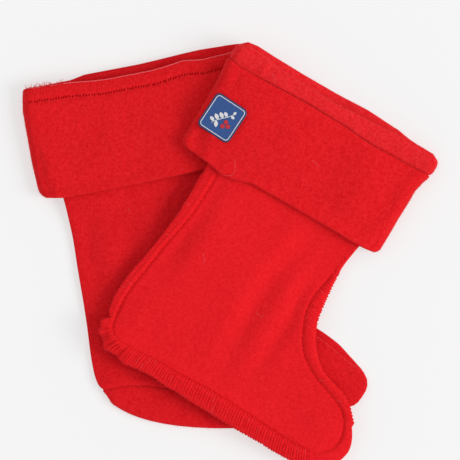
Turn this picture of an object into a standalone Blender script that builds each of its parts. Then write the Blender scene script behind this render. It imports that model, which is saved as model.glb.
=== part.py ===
"""A pair of fleece boot liners lying flat on a surface.

The plain liner lies on the surface with its seams turned in. The badged liner lies
across it with its overlocked seams turned out, so they stand along its edges as a flat
ridge. Each liner is laid out in its own flat frame, in millimetres: u runs along the
mouth from the back of the leg to the front, v runs down the leg from the mouth.
Heights are added last, so each piece of cloth rests on what lies under it.
"""

import math

import bpy
import numpy as np

for item in list(bpy.data.objects):
    bpy.data.objects.remove(item, do_unlink=True)

# ------------------------------------------------------------------ named sizes, mm
FLEECE = 2.0            # one layer of fleece
CUFF_WALL = 3.2         # turned-down cuff, two layers sewn as one
SOLE_WALL = 1.8         # sole of the badged liner, folded between its side panels
SEAM = 0.3              # between two pieces that are sewn together
CUFF_ROOM = 6.2         # inside a cuff, where the leg passes through it
CUFF_ROOM_SIDE = 2.6    # inside a cuff, at its side folds
SIDE_EASE = 12.0        # over this width a cuff comes down to its side folds
SEAM_IN = 4.0           # the plain liner's panels turn in over this width
SWELL = 24.0            # a leg or foot is at its full thickness this far from a seam
PINCH = 0.5             # how far the overlock stitches pull the cloth down
ROLL_HALF_HEIGHT = 3.0  # rolled band at the badged liner's mouth
ROLL_STEP = 6.6         # its upper run lies this far above its lower run
BADGE_WALL = 1.7        # moulded badge
BADGE_LIFT = 0.6        # between the badge and the highest place of the cuff near it

# Where each liner lies: its mouth's back corner, and the turn of its mouth line.
PLAIN_LIE = dict(x=-134.418, y=109.316, turn=11.3)
BADGED_LIE = dict(x=0.132, y=129.466, turn=-30.0)

# Columns of points across a panel, as parts of its width between the seam lines.
ACROSS = (0.0, 0.05, 0.12, 0.22, 0.33, 0.44, 0.56, 0.67, 0.78, 0.88, 0.95, 1.0)
# Rings from a seam line out to the edge: part of the way, cut off the outer face.
RINGS = ((0.35, 0.1), (0.8, 0.45), (1.0, 1.15))

# ------------------------------------------------------------------ section tables
# One row per section of the plain liner, from mouth to toe:
# back_u, back_v   edge of the side panels, down the back and then along the sole seam
# front_u, front_v edge of the side panels at the front and along the instep
# lift             height of the lower panel over what lies under the liner
# room             height between the two panels
# open             1 where the panels' edges stay apart to take the sole, 0 where sewn
# bare             how far the upper panel stops short of the lower at the front
# fold_u, fold_v   fold of the sole, on the outline
PLAIN_SECTIONS = (
    (3.6, 1.0, 142.8, 1.0, 3.8, 1.0, 0, 0.0, 0, 0),
    (5.5, 28.0, 137.0, 28.0, 3.8, 1.0, 0, 0.0, 0, 0),
    (8.8, 54.0, 129.0, 54.0, 3.8, 1.0, 0, 0.0, 0, 0),
    (11.6, 79.0, 122.5, 78.0, 3.8, 1.0, 0, 0.0, 0, 0),
    (11.9, 91.0, 121.6, 90.0, 0.8, 1.5, 0, 0.0, 0, 0),
    (12.2, 103.0, 122.2, 102.0, 0.0, 2.0, 0, 0.0, 0, 0),
    (11.2, 122.0, 123.3, 117.0, 0.0, 2.2, 0, 0.0, 0, 0),
    (10.7, 143.0, 125.0, 133.0, 0.0, 2.2, 0, 0.0, 0, 0),
    (9.9, 161.0, 127.6, 146.0, 0.0, 2.2, 0, 0.0, 0, 0),
    (8.5, 178.0, 131.0, 157.0, 0.0, 2.2, 0, 0.5, 0, 0),
    (8.8, 192.0, 135.5, 165.8, 0.0, 2.2, 0, 2.0, 0, 0),
    (10.6, 203.6, 140.5, 173.0, 0.0, 2.2, 1, 4.0, 12.8, 208.9),
    (20.0, 201.9, 144.5, 177.6, 0.0, 2.2, 1, 5.5, 17.4, 214.4),
    (32.0, 203.0, 148.5, 182.0, 0.0, 2.2, 1, 6.5, 25.0, 221.4),
    (46.0, 207.3, 152.0, 186.0, 0.0, 2.2, 1, 7.0, 36.0, 227.6),
    (64.0, 213.0, 155.4, 189.7, 0.0, 2.2, 1, 7.0, 52.0, 234.4),
    (84.0, 218.0, 159.6, 193.8, 0.0, 2.2, 1, 7.0, 74.0, 240.6),
    (105.5, 221.9, 164.1, 198.6, 0.0, 2.2, 1, 7.0, 98.0, 245.0),
    (126.0, 224.6, 168.6, 203.9, 0.0, 2.2, 1, 6.8, 121.0, 248.0),
    (144.0, 227.5, 172.2, 210.1, 0.0, 2.2, 1, 5.5, 141.0, 249.4),
    (157.0, 232.0, 176.0, 216.4, 0.0, 2.2, 1, 4.8, 156.0, 248.3),
    (165.5, 237.8, 179.2, 221.9, 0.0, 2.2, 1, 4.4, 167.9, 244.3),
)

# One row per section of the badged liner, from mouth to toe:
# edge_u, edge_v       outer edge of the seam ridge, down the back and along the sole
# seam_u, seam_v       seam line inside that ridge
# front_seam_u and _v  seam line at the front and along the instep
# front_u, front_v     outer edge of the ridge there
# lift, room, open     as above
BADGED_SECTIONS = (
    (5.2, 0.0, 8.5, 0.0, 142.5, 0.0, 145.8, 0.0, 3.8, 1.0, 0),
    (9.5, 26.0, 13.5, 26.0, 138.5, 26.0, 141.6, 26.0, 3.8, 1.0, 0),
    (16.5, 50.0, 22.5, 50.0, 134.0, 49.0, 136.8, 49.0, 3.8, 1.0, 0),
    (22.3, 70.0, 30.3, 70.0, 130.7, 69.0, 132.8, 69.0, 3.8, 1.0, 0),
    (21.2, 82.0, 30.0, 82.0, 129.4, 81.0, 130.9, 81.0, 0.9, 1.7, 0),
    (21.7, 94.0, 29.6, 94.0, 127.0, 93.5, 131.1, 93.5, 0.0, 2.6, 0),
    (20.8, 109.0, 27.7, 108.6, 123.9, 108.0, 132.4, 107.5, 0.0, 3.0, 0),
    (18.3, 129.6, 23.4, 129.5, 125.3, 120.5, 134.0, 120.0, 0.0, 3.0, 0),
    (15.0, 144.7, 21.1, 146.0, 128.8, 129.0, 137.2, 128.4, 0.0, 3.0, 0),
    (12.8, 161.5, 18.4, 162.0, 132.2, 136.2, 140.9, 134.9, 0.0, 3.2, 0),
    (11.8, 174.1, 18.1, 173.0, 135.8, 141.6, 144.6, 139.2, 0.0, 3.8, 0),
    (13.9, 184.4, 19.3, 182.8, 140.0, 145.4, 148.6, 143.2, 0.0, 4.6, 0),
    (13.4, 192.4, 20.0, 190.3, 144.2, 148.4, 152.0, 145.8, 0.0, 4.8, 0.7),
    (17.2, 200.0, 24.0, 194.7, 148.4, 151.0, 155.6, 147.9, 0.0, 4.8, 1),
    (26.5, 205.2, 31.5, 195.4, 152.4, 152.9, 159.0, 149.1, 0.0, 4.8, 1),
    (39.5, 207.3, 42.0, 195.6, 156.3, 154.4, 162.5, 150.3, 0.0, 4.8, 1),
    (55.0, 204.3, 57.0, 194.2, 160.3, 155.7, 166.0, 151.2, 0.0, 4.8, 1),
    (74.5, 206.2, 74.0, 194.6, 164.0, 157.1, 169.6, 152.1, 0.0, 4.8, 1),
    (95.0, 206.4, 94.0, 193.6, 167.6, 158.5, 173.2, 153.5, 0.0, 4.8, 1),
    (114.0, 207.3, 113.0, 194.2, 171.0, 159.8, 176.6, 155.2, 0.0, 4.8, 1),
    (131.0, 207.7, 130.0, 195.5, 174.0, 161.2, 179.6, 157.3, 0.0, 4.8, 1),
    (149.0, 207.4, 147.0, 196.6, 176.6, 162.7, 182.0, 159.8, 0.0, 4.8, 1),
    (165.0, 207.2, 162.0, 197.0, 178.8, 164.6, 184.6, 162.6, 0.0, 4.8, 1),
    (181.0, 205.0, 174.5, 196.0, 181.0, 167.4, 188.0, 166.4, 0.0, 4.8, 1),
)
PLAIN_BOW, BADGED_BOW = 3.6, 7.5      # how far the toe end bows out
PLAIN_HEEL, BADGED_HEEL = 11, 12      # the section where each sole starts

# Edges of the cuffs. Top and free edges: v at each u, upper layer and lower layer.
# Side folds: v, then u of the back fold and of the front fold.
PLAIN_CUFF = dict(
    top_upper=((0, 0.8), (24, 1.9), (54, 4.8), (84, 5.0), (105, 2.9), (118, 4.4),
               (133, 3.9), (149, 1.4)),
    top_lower=((0, 0.8), (30, 0.9), (41, -0.8), (75, -0.5), (116, -2.0), (134, -1.4),
               (149, -0.5)),
    free_upper=((-4, 72.5), (12, 75.2), (40, 75.6), (103, 75.4), (144, 74.0)),
    free_lower=((-4, 72.5), (12, 75.0), (40, 75.2), (103, 75.0), (144, 74.0)),
    sides=((0, -0.6, 148.8), (17.6, -3.7, 149.4), (31.7, -4.0, 148.2),
           (48.8, -4.4, 146.2), (64.2, -3.9, 144.6), (76, -2.2, 143.6)),
)
BADGED_CUFF = dict(
    top_upper=((0, 2.3), (8, 3.6), (31, 3.4), (57, 2.6), (84, 2.9), (105, 4.6),
               (131, 4.0), (151, 3.1)),
    top_lower=((0, 2.3), (8, 3.6), (31, 3.4), (57, 2.6), (84, 2.9), (105, 4.6),
               (131, 4.0), (151, 3.1)),
    free_upper=((-1, 64.6), (6, 65.9), (18, 66.9), (34, 69.6), (43, 68.0), (53, 64.8),
                (74, 64.7), (106, 64.5), (133, 64.9), (147, 63.6)),
    free_lower=((-1, 64.6), (30, 66.5), (60, 65.0), (147, 63.6)),
    sides=((3, -1.6, 151.0), (11, -0.8, 148.6), (18, 0.0, 147.2), (29, 0.4, 147.2),
           (42, 0.1, 146.8), (56, -0.2, 146.8), (70, -0.4, 146.5)),
)
# Rows down a cuff: part of its depth, thickness there as part of the wall.
CUFF_ROWS = ((0.0, 0.35), (0.012, 0.8), (0.05, 0.96), (0.12, 0.72), (0.17, 1.0),
             (0.33, 1.0), (0.5, 1.0), (0.67, 1.0), (0.84, 1.0), (0.965, 0.92),
             (0.99, 0.66), (1.0, 0.28))
# The rolled band: top edge of its upper and lower run, and the seam line under it.
ROLL = dict(
    top_upper=((0, -7.0), (8, -11.6), (20, -10.9), (34, -8.6), (51, -8.1), (72, -7.2),
               (96, -8.7), (119, -10.1), (136, -11.1), (145, -10.9), (151, -7.6)),
    top_lower=((0, -9.5), (5, -13.6), (12, -14.5), (26, -13.9), (48, -12.8), (71, -12.9),
               (94, -13.8), (117, -13.7), (128, -11.6), (145, -10.0), (151, -7.6)),
    seam=((0, 1.8), (8, 3.1), (31, 2.9), (57, 2.1), (84, 2.4), (105, 4.1), (131, 3.5),
          (151, 2.6)),
    back=-0.9, front=151.4,
)
BADGE = dict(u=15.3, v=37.4, width=24.0, length=25.4, turn=3.5, corner=3.4)


# ------------------------------------------------------------------ plain geometry
def table_value(table, at):
    """Value of a two-column table at a place, eased between its rows."""
    keys = np.array([row[0] for row in table], float)
    values = np.array([row[1] for row in table], float)
    at = np.asarray(at, float)
    low = np.clip(np.searchsorted(keys, at) - 1, 0, len(keys) - 2)
    part = np.clip((at - keys[low]) / (keys[low + 1] - keys[low]), 0, 1)
    part = part * 0.5 + 0.5 * part * part * (3 - 2 * part)
    return values[low] + (values[low + 1] - values[low]) * part


def to_surface(lie, points):
    """From a liner's own flat frame to the surface that both liners lie on."""
    turn = math.radians(lie["turn"])
    u, v = points[..., 0], points[..., 1]
    x = lie["x"] + u * math.cos(turn) + v * math.sin(turn)
    y = lie["y"] + u * math.sin(turn) - v * math.cos(turn)
    return np.stack([x, y], axis=-1)


def outward(points):
    """Outward directions along a line that runs down the back, round the toe and up."""
    along = np.gradient(points, axis=0)
    along /= np.linalg.norm(along, axis=1)[:, None]
    return np.stack([-along[:, 1], along[:, 0]], axis=1)


# ------------------------------------------------------------------ what lies beneath
class Ground:
    """Height that a liner rests on, over a square lattice of the surface."""

    step, low = 2.0, -190.0

    def __init__(self):
        self.count = int(-2 * self.low / self.step) + 1
        self.height = np.zeros((self.count, self.count))

    def pile(self, points, faces):
        """Raise the lattice to the highest face over each of its places."""
        grid = (points[:, :2] - self.low) / self.step
        for face in faces:
            a, b, c = grid[face[0]], grid[face[1]], grid[face[2]]
            area = (b[0] - a[0]) * (c[1] - a[1]) - (c[0] - a[0]) * (b[1] - a[1])
            if abs(area) < 1e-9:
                continue
            corners = np.array([a, b, c])
            lo = np.ceil(corners.min(axis=0)).astype(int)
            hi = np.floor(corners.max(axis=0)).astype(int)
            for i in range(lo[0], hi[0] + 1):
                for j in range(lo[1], hi[1] + 1):
                    wb = ((i - a[0]) * (c[1] - a[1]) - (c[0] - a[0]) * (j - a[1])) / area
                    wc = ((b[0] - a[0]) * (j - a[1]) - (i - a[0]) * (b[1] - a[1])) / area
                    if wb < -1e-6 or wc < -1e-6 or wb + wc > 1 + 1e-6:
                        continue
                    z = (points[face[0], 2] * (1 - wb - wc) + points[face[1], 2] * wb
                         + points[face[2], 2] * wc)
                    self.height[i, j] = max(self.height[i, j], z)

    def drape(self, reach, slope, softness):
        """Cloth over the pile: it carries past each edge, then falls and eases out."""
        def spread(field, steps, fall):
            for _ in range(steps):
                wide = np.pad(field, 1, mode="edge")
                best = field.copy()
                for i in range(3):
                    for j in range(3):
                        gap = math.hypot(i - 1, j - 1) * self.step
                        moved = wide[i:i + self.count, j:j + self.count] - fall * gap
                        best = np.maximum(best, moved)
                field = best
            return field

        field = spread(self.height, int(reach / self.step), 0.0)
        field = spread(field, 40, slope)
        for _ in range(softness):
            wide = np.pad(field, 1, mode="edge")
            field = sum(wide[i:i + self.count, j:j + self.count]
                        for i in range(3) for j in range(3)) / 9.0
        near = np.clip(field / 2.0, 0, 1)
        self.height = np.where(field > 0.02, field + SEAM * near * near * (3 - 2 * near), 0.0)

    def at(self, points):
        """Height under points of the surface."""
        place = (points - self.low) / self.step
        cell = np.clip(np.floor(place).astype(int), 0, self.count - 2)
        fx, fy = place[..., 0] - cell[..., 0], place[..., 1] - cell[..., 1]
        i, j = cell[..., 0], cell[..., 1]
        h = self.height
        return (h[i, j] * (1 - fx) * (1 - fy) + h[i + 1, j] * fx * (1 - fy)
                + h[i, j + 1] * (1 - fx) * fy + h[i + 1, j + 1] * fx * fy)


# ------------------------------------------------------------------ closed solids
def split(a, b, c, d):
    return [(a, b, c), (a, c, d)]


def wall_solid(outer, inner, faces):
    """Close a wall between its two faces: outer and inner points, one list of faces."""
    count = len(outer)
    edges = {}
    for face in faces:
        for k in range(3):
            edges[(face[k], face[(k + 1) % 3])] = True
    closed = list(faces) + [(c + count, b + count, a + count) for a, b, c in faces]
    for a, b in edges:
        if (b, a) not in edges:
            closed += split(b, a, a + count, b + count)
    return np.vstack([outer, inner]), closed


def volume(points, faces):
    a, b, c = (points[[face[k] for face in faces]] for k in range(3))
    return float(np.einsum("ij,ij->i", a, np.cross(b, c)).sum()) / 6.0


PIECES = []


def add_piece(name, points, faces, colour, roughness=0.95):
    """Keep a piece for the end, with its faces turned outward."""
    if volume(points, faces) < 0:
        faces = [(a, c, b) for a, b, c in faces]
    PIECES.append((name, np.asarray(points, float), faces, colour, roughness))
    return points, faces


# ------------------------------------------------------------------ side panels
class Panels:
    """The two side panels of a liner: one layout of points, two heights at each."""

    def __init__(self, lie, seam_left, seam_right, edge_left, edge_right, bow, rows,
                 ground):
        self.lie, self.rows, self.ground = lie, rows, ground
        count = len(rows)
        s = np.array(ACROSS)
        grid = seam_left[:, None] * (1 - s)[:, None] + seam_right[:, None] * s[:, None]
        chord = seam_right[-1] - seam_left[-1]
        toe = np.array([-chord[1], chord[0]]) / np.linalg.norm(chord)
        bows = np.zeros(count)
        bows[-5:] = (0.05, 0.2, 0.42, 0.7, 1.0)
        grid += (bows[:, None] * bow * 4 * s * (1 - s))[:, :, None] * toe
        self.grid, self.count = grid, count

        # The line that the seam follows: down the back, along the sole, round the toe
        # and up the front. Rings of points lead from it out to the edge.
        columns = len(s)
        self.line = ([(r, 0) for r in range(count)] + [(count - 1, c) for c in
                     range(1, columns - 1)] + [(r, columns - 1) for r in
                                               range(count - 1, -1, -1)])
        line = np.array([grid[r, c] for r, c in self.line])
        edge = np.zeros_like(line)
        edge[:count] = edge_left
        edge[-count:] = edge_right[::-1]
        out = outward(line)
        wide_left = np.linalg.norm(edge_left[-1] - seam_left[-1])
        wide_right = np.linalg.norm(edge_right[-1] - seam_right[-1])
        for k in range(1, columns - 1):
            wide = wide_left + (wide_right - wide_left) * s[k]
            edge[count - 1 + k] = line[count - 1 + k] + out[count - 1 + k] * wide
        self.edge = edge
        self.rings = [line + (edge - line) * part for part, _ in RINGS]
        self.base = count * columns

        number = {(r, c): r * columns + c for r in range(count) for c in range(columns)}
        faces = []
        for r in range(count - 1):
            for c in range(columns - 1):
                faces += split(number[r, c], number[r + 1, c], number[r + 1, c + 1],
                               number[r, c + 1])
        first = [number[place] for place in self.line]
        tracks = [first] + [[self.base + k * len(line) + j for j in range(len(line))]
                            for k in range(len(RINGS))]
        self.tracks = tracks
        for low, high in zip(tracks[:-1], tracks[1:]):
            for j in range(len(line) - 1):
                faces += split(high[j], high[j + 1], low[j + 1], low[j])
        self.faces = faces
        self.flat = np.vstack([grid.reshape(-1, 2)] + self.rings)

    def set_heights(self, opened, pinch):
        """Heights of the four faces of cloth over the ground."""
        count, columns = self.count, len(ACROSS)
        lift, room = self.rows[:, 0], self.rows[:, 1]
        row_of = np.array([r for r, _ in self.line])
        ring_gap = SEAM + opened * (room[row_of] - SEAM)

        # Inside the seam line the room grows with the distance from the seam.
        line = np.array([self.grid[place] for place in self.line])
        away = np.linalg.norm(self.grid[:, :, None, :] - line, axis=3)
        swell = np.sin(np.clip(away.min(axis=2) / SWELL, 0, 1) * math.pi / 2)
        weight = 1.0 / (away + 0.01) ** 4
        side = (weight * ring_gap).sum(axis=2) / weight.sum(axis=2)
        gap = side + (room[:, None] - side) * swell
        for place, value in zip(self.line, ring_gap):
            gap[place] = value
        lifts = np.repeat(lift[:, None], columns, axis=1)

        gap_all = np.concatenate([gap.ravel()] + [ring_gap] * len(RINGS))
        lift_all = np.concatenate([lifts.ravel()] + [lift[row_of]] * len(RINGS))
        cut = np.zeros(len(gap_all))
        for k, (_, off) in enumerate(RINGS):
            cut[self.tracks[k + 1]] = off
        nip = np.zeros(len(gap_all))
        nip[self.tracks[0]] = pinch
        return gap_all, lift_all, cut, nip

    def solids(self, flat_low, flat_up, opened, pinch=0.0):
        """Lower and upper panel, as points in millimetres."""
        gap, lift, cut, nip = self.set_heights(opened, pinch)
        low_xy, up_xy = to_surface(self.lie, flat_low), to_surface(self.lie, flat_up)
        low_z, up_z = self.ground.at(low_xy) + lift, self.ground.at(up_xy) + lift
        self.low_top = low_z + FLEECE
        self.up_under = up_z + FLEECE + gap
        self.up_top = self.up_under + FLEECE - cut - nip
        lower = wall_solid(np.c_[low_xy, self.low_top], np.c_[low_xy, low_z + cut],
                           self.faces)
        upper = wall_solid(np.c_[up_xy, self.up_top], np.c_[up_xy, self.up_under],
                           self.faces)
        return lower, upper


def mouth_shift(panels, flat, table, depth=40.0):
    """Bring the first sections of a panel to the mouth line in a table."""
    flat = flat.copy()
    near = np.clip(1 - flat[:, 1] / depth, 0, 1)
    flat[:, 1] += near * (table_value(table, flat[:, 0]) + 0.6)
    return flat


# ------------------------------------------------------------------ cuffs and roll
def loop_stations(flat_count=14, turn_count=4):
    """Round a flattened band: lower wall forward, front fold, upper wall, back fold."""
    low = [("low", t) for t in np.linspace(0, 1, flat_count)]
    up = [("up", t) for t in np.linspace(1, 0, flat_count)]
    angles = [(k + 1) / (turn_count + 1) for k in range(turn_count)]
    return low + [("front", a) for a in angles] + up + [("back", a) for a in angles]


def band_points(stations, back, front, room, half, cut):
    """Outer and inner points of one row of a flattened band.

    back and front are the outermost places of its folds; room is the clear height
    inside it at each place u; half is half of the wall; cut is the row's thickness.
    """
    outer, inner = [], []
    radius_back = room(back + 6.0) / 2 + half
    radius_front = room(front - 6.0) / 2 + half
    u0, u1 = back + radius_back + half, front - radius_front - half
    for kind, t in stations:
        if kind in ("low", "up"):
            u = u0 + (u1 - u0) * t
            mid = half if kind == "low" else 3 * half + room(u)
            side = (0.0, -1.0) if kind == "low" else (0.0, 1.0)
            centre = (u, mid)
        else:
            angle = -math.pi / 2 + math.pi * t
            radius = radius_front if kind == "front" else radius_back
            sign = 1.0 if kind == "front" else -1.0
            middle = u1 if kind == "front" else u0
            if kind == "back":
                angle = -angle
            side = (sign * math.cos(angle), math.sin(angle))
            centre = (middle + radius * side[0], half + radius + radius * side[1])
        outer.append((centre[0] + side[0] * cut, centre[1] + side[1] * cut))
        inner.append((centre[0] - side[0] * cut, centre[1] - side[1] * cut))
    return outer, inner


def cuff(lie, sizes, ground, leg_back, leg_front):
    """A turned-down cuff: a flattened band whose top and free edges follow the tables."""
    stations = loop_stations()
    half = CUFF_WALL / 2
    outer_all, inner_all = [], []
    for part, thick in CUFF_ROWS:
        v_mid = 3.0 + (72.0 - 3.0) * part
        back = float(table_value([row[:2] for row in sizes["sides"]], v_mid))
        front = float(table_value([(row[0], row[2]) for row in sizes["sides"]], v_mid))
        # Near the free edge's corners the side folds turn in a little.
        turn_in = 2.2 * max(0.0, (part - 0.93) / 0.07) ** 2 + 0.8 * (part == 0.0)
        back, front = back + turn_in, front - turn_in

        def room(u):
            reach = min(u - (leg_back(v_mid) - SIDE_EASE - 1.5),
                        (leg_front(v_mid) + SIDE_EASE + 1.5) - u)
            ease = min(1.0, max(0.0, reach / SIDE_EASE))
            ease = ease * ease * (3 - 2 * ease)
            return CUFF_ROOM_SIDE + (CUFF_ROOM - CUFF_ROOM_SIDE) * ease

        outer, inner = band_points(stations, back, front, room, half, half * thick)
        for target, row in ((outer_all, outer), (inner_all, inner)):
            line = []
            for (u, z), (kind, t) in zip(row, stations):
                up = {"low": 0.0, "up": 1.0, "front": t, "back": 1 - t}[kind]
                top = (table_value(sizes["top_lower"], u) * (1 - up)
                       + table_value(sizes["top_upper"], u) * up)
                free = (table_value(sizes["free_lower"], u) * (1 - up)
                        + table_value(sizes["free_upper"], u) * up)
                v = float(top + (free - top) * part)
                line.append((u, v, z))
            target.append(line)
    return close_band(lie, ground, np.array(outer_all), np.array(inner_all))


def close_band(lie, ground, outer, inner):
    """A band's rows and stations as a closed solid, its last station meeting its first."""
    rows, count = outer.shape[:2]
    faces = []
    for r in range(rows - 1):
        for k in range(count):
            n = (k + 1) % count
            faces += split(r * count + k, r * count + n, (r + 1) * count + n,
                           (r + 1) * count + k)
    made = []
    for points in (outer.reshape(-1, 3), inner.reshape(-1, 3)):
        xy = to_surface(lie, points[:, :2])
        made.append(np.c_[xy, ground.at(xy) + points[:, 2]])
    return wall_solid(made[0], made[1], faces)


def roll(lie, sizes, ground):
    """The rolled band round the badged liner's mouth: a rounded section round a loop."""
    stations = loop_stations(14, 5)
    radius = ROLL_STEP / 2
    u0 = sizes["back"] + radius + ROLL_HALF_HEIGHT
    u1 = sizes["front"] - radius - ROLL_HALF_HEIGHT
    section = [(-1.0, -0.45), (-0.72, -1.0), (0.0, -1.0), (0.72, -1.0), (1.0, -0.45),
               (1.0, 0.45), (0.72, 1.0), (0.0, 1.0), (-0.72, 1.0), (-1.0, 0.45)]
    points = []
    for kind, t in stations:
        if kind in ("low", "up"):
            u = u0 + (u1 - u0) * t
            side = (0.0, -1.0 if kind == "low" else 1.0)
            z = ROLL_HALF_HEIGHT + (0 if kind == "low" else ROLL_STEP)
        else:
            angle = (-math.pi / 2 + math.pi * t) * (1 if kind == "front" else -1)
            side = ((1 if kind == "front" else -1) * math.cos(angle), math.sin(angle))
            u = (u1 if kind == "front" else u0) + radius * side[0]
            z = ROLL_HALF_HEIGHT + radius + radius * side[1]
        up = {"low": 0.0, "up": 1.0, "front": t, "back": 1 - t}[kind]
        top = float(table_value(sizes["top_lower"], u) * (1 - up)
                    + table_value(sizes["top_upper"], u) * up)
        seam = float(table_value(sizes["seam"], u))
        middle, reach = (top + seam) / 2, (seam - top) / 2
        for along, through in section:
            shift = through * ROLL_HALF_HEIGHT
            points.append((u + side[0] * shift, middle + along * reach,
                           z + side[1] * shift))
    points = np.array(points)
    count, size = len(stations), len(section)
    faces = []
    for k in range(count):
        n = (k + 1) % count
        for m in range(size):
            p = (m + 1) % size
            faces += split(k * size + m, n * size + m, n * size + p, k * size + p)
    xy = to_surface(lie, points[:, :2])
    return np.c_[xy, ground.at(xy) + points[:, 2]], faces


# ------------------------------------------------------------------ the plain liner
def plain_liner(ground):
    rows = np.array(PLAIN_SECTIONS, float)
    count, columns = len(rows), len(ACROSS)
    left, right = rows[:, 0:2], rows[:, 2:4]
    across = right - left
    across /= np.linalg.norm(across, axis=1)[:, None]
    edge = np.vstack([left, right[::-1]])
    inside = edge - outward(edge) * SEAM_IN
    panels = Panels(PLAIN_LIE, inside[:count], inside[count:][::-1], left, right,
                    PLAIN_BOW, rows[:, 4:6], ground)

    opened = np.zeros(len(panels.line))
    opened[PLAIN_HEEL:count] = 1.0
    opened[PLAIN_HEEL - 1] = 0.15
    opened[count:count + columns - 1] = np.linspace(1.0, 0.3, columns - 1)

    # The upper panel stops short of the lower one along the instep.
    bare = rows[:, 7]
    flat_low = panels.flat.copy()
    flat_up = panels.flat.copy()
    s = np.array(ACROSS)
    for r in range(count):
        for c in range(columns):
            flat_up[r * columns + c] -= across[r] * bare[r] * s[c] ** 3
    for track in panels.tracks[1:]:
        for j, (r, c) in enumerate(panels.line):
            if c > 0:
                flat_up[track[j]] -= across[r] * bare[r] * s[c] ** 3
    flat_low = mouth_shift(panels, flat_low, PLAIN_CUFF["top_lower"])
    flat_up = mouth_shift(panels, flat_up, PLAIN_CUFF["top_upper"])
    lower, upper = panels.solids(flat_low, flat_up, opened)
    add_piece("plain_side_down", *lower, (0.56, 0.011, 0.016))
    add_piece("plain_side_up", *upper, (0.60, 0.013, 0.018))

    # The sole wraps the outline: half of it lies on each face of the foot.
    last = panels.tracks[-1]
    picks = list(range(PLAIN_HEEL, count + columns - 2))
    low_edge = np.array([flat_low[last[j]] for j in picks])
    up_edge = np.array([flat_up[last[j]] for j in picks])
    away = outward(panels.edge)[picks]
    low_edge, up_edge = low_edge + away * SEAM, up_edge + away * SEAM
    fold = []
    for k, j in enumerate(picks):
        if j < count:
            fold.append(rows[j, 8:10])
        else:
            part = (j - count + 1) / columns
            fold.append(low_edge[k] + away[k] * (6.2 - 1.6 * part - 2.6 * part ** 6))
    fold = np.array(fold)
    tops = panels.up_under[[last[j] for j in picks]] + FLEECE
    outer, inner = [], []
    for k, height in enumerate(tops):
        middle = (low_edge[k] + up_edge[k]) / 2
        reach = np.linalg.norm(fold[k] - middle)
        inward = (middle - fold[k]) / reach
        soft = min(1.8, reach * 0.4)
        thick = min(FLEECE, reach * 0.5)
        near = fold[k] + inward * soft
        near_in = fold[k] + inward * (soft + min(0.9, reach * 0.15))
        rise = min(2.4, reach * 0.25)
        low_seam, up_seam = low_edge[k] - inward * rise, up_edge[k] - inward * rise
        low_mid, up_mid = (low_seam + near) / 2, (up_seam + near) / 2
        outer += [(*low_edge[k], 0.9), (*low_seam, 0.1), (*low_mid, 0.0), (*near, 0.25),
                  (*fold[k], height / 2), (*near, height - 0.25), (*up_mid, height),
                  (*up_seam, height - 0.1), (*up_edge[k], height - 0.9)]
        inner += [(*low_edge[k], FLEECE), (*low_seam, FLEECE), (*low_mid, FLEECE),
                  (*near_in, FLEECE + 0.1), (*(fold[k] + inward * thick), height / 2),
                  (*near_in, height - FLEECE - 0.1), (*up_mid, height - FLEECE),
                  (*up_seam, height - FLEECE), (*up_edge[k], height - FLEECE)]
    outer, inner = np.array(outer), np.array(inner)
    faces = []
    for k in range(len(picks) - 1):
        for m in range(8):
            faces += split(k * 9 + m, k * 9 + m + 1, (k + 1) * 9 + m + 1, (k + 1) * 9 + m)
    made = []
    for points in (outer, inner):
        xy = to_surface(PLAIN_LIE, points[:, :2])
        made.append(np.c_[xy, ground.at(xy) + points[:, 2]])
    add_piece("plain_sole", *wall_solid(made[0], made[1], faces), (0.58, 0.012, 0.018))

    def leg_back(v):
        return float(np.interp(v, rows[:, 1], rows[:, 0]))

    def leg_front(v):
        return float(np.interp(v, rows[:, 3], rows[:, 2]))

    add_piece("plain_cuff", *cuff(PLAIN_LIE, PLAIN_CUFF, ground, leg_back, leg_front),
              (0.66, 0.014, 0.02))


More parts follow.
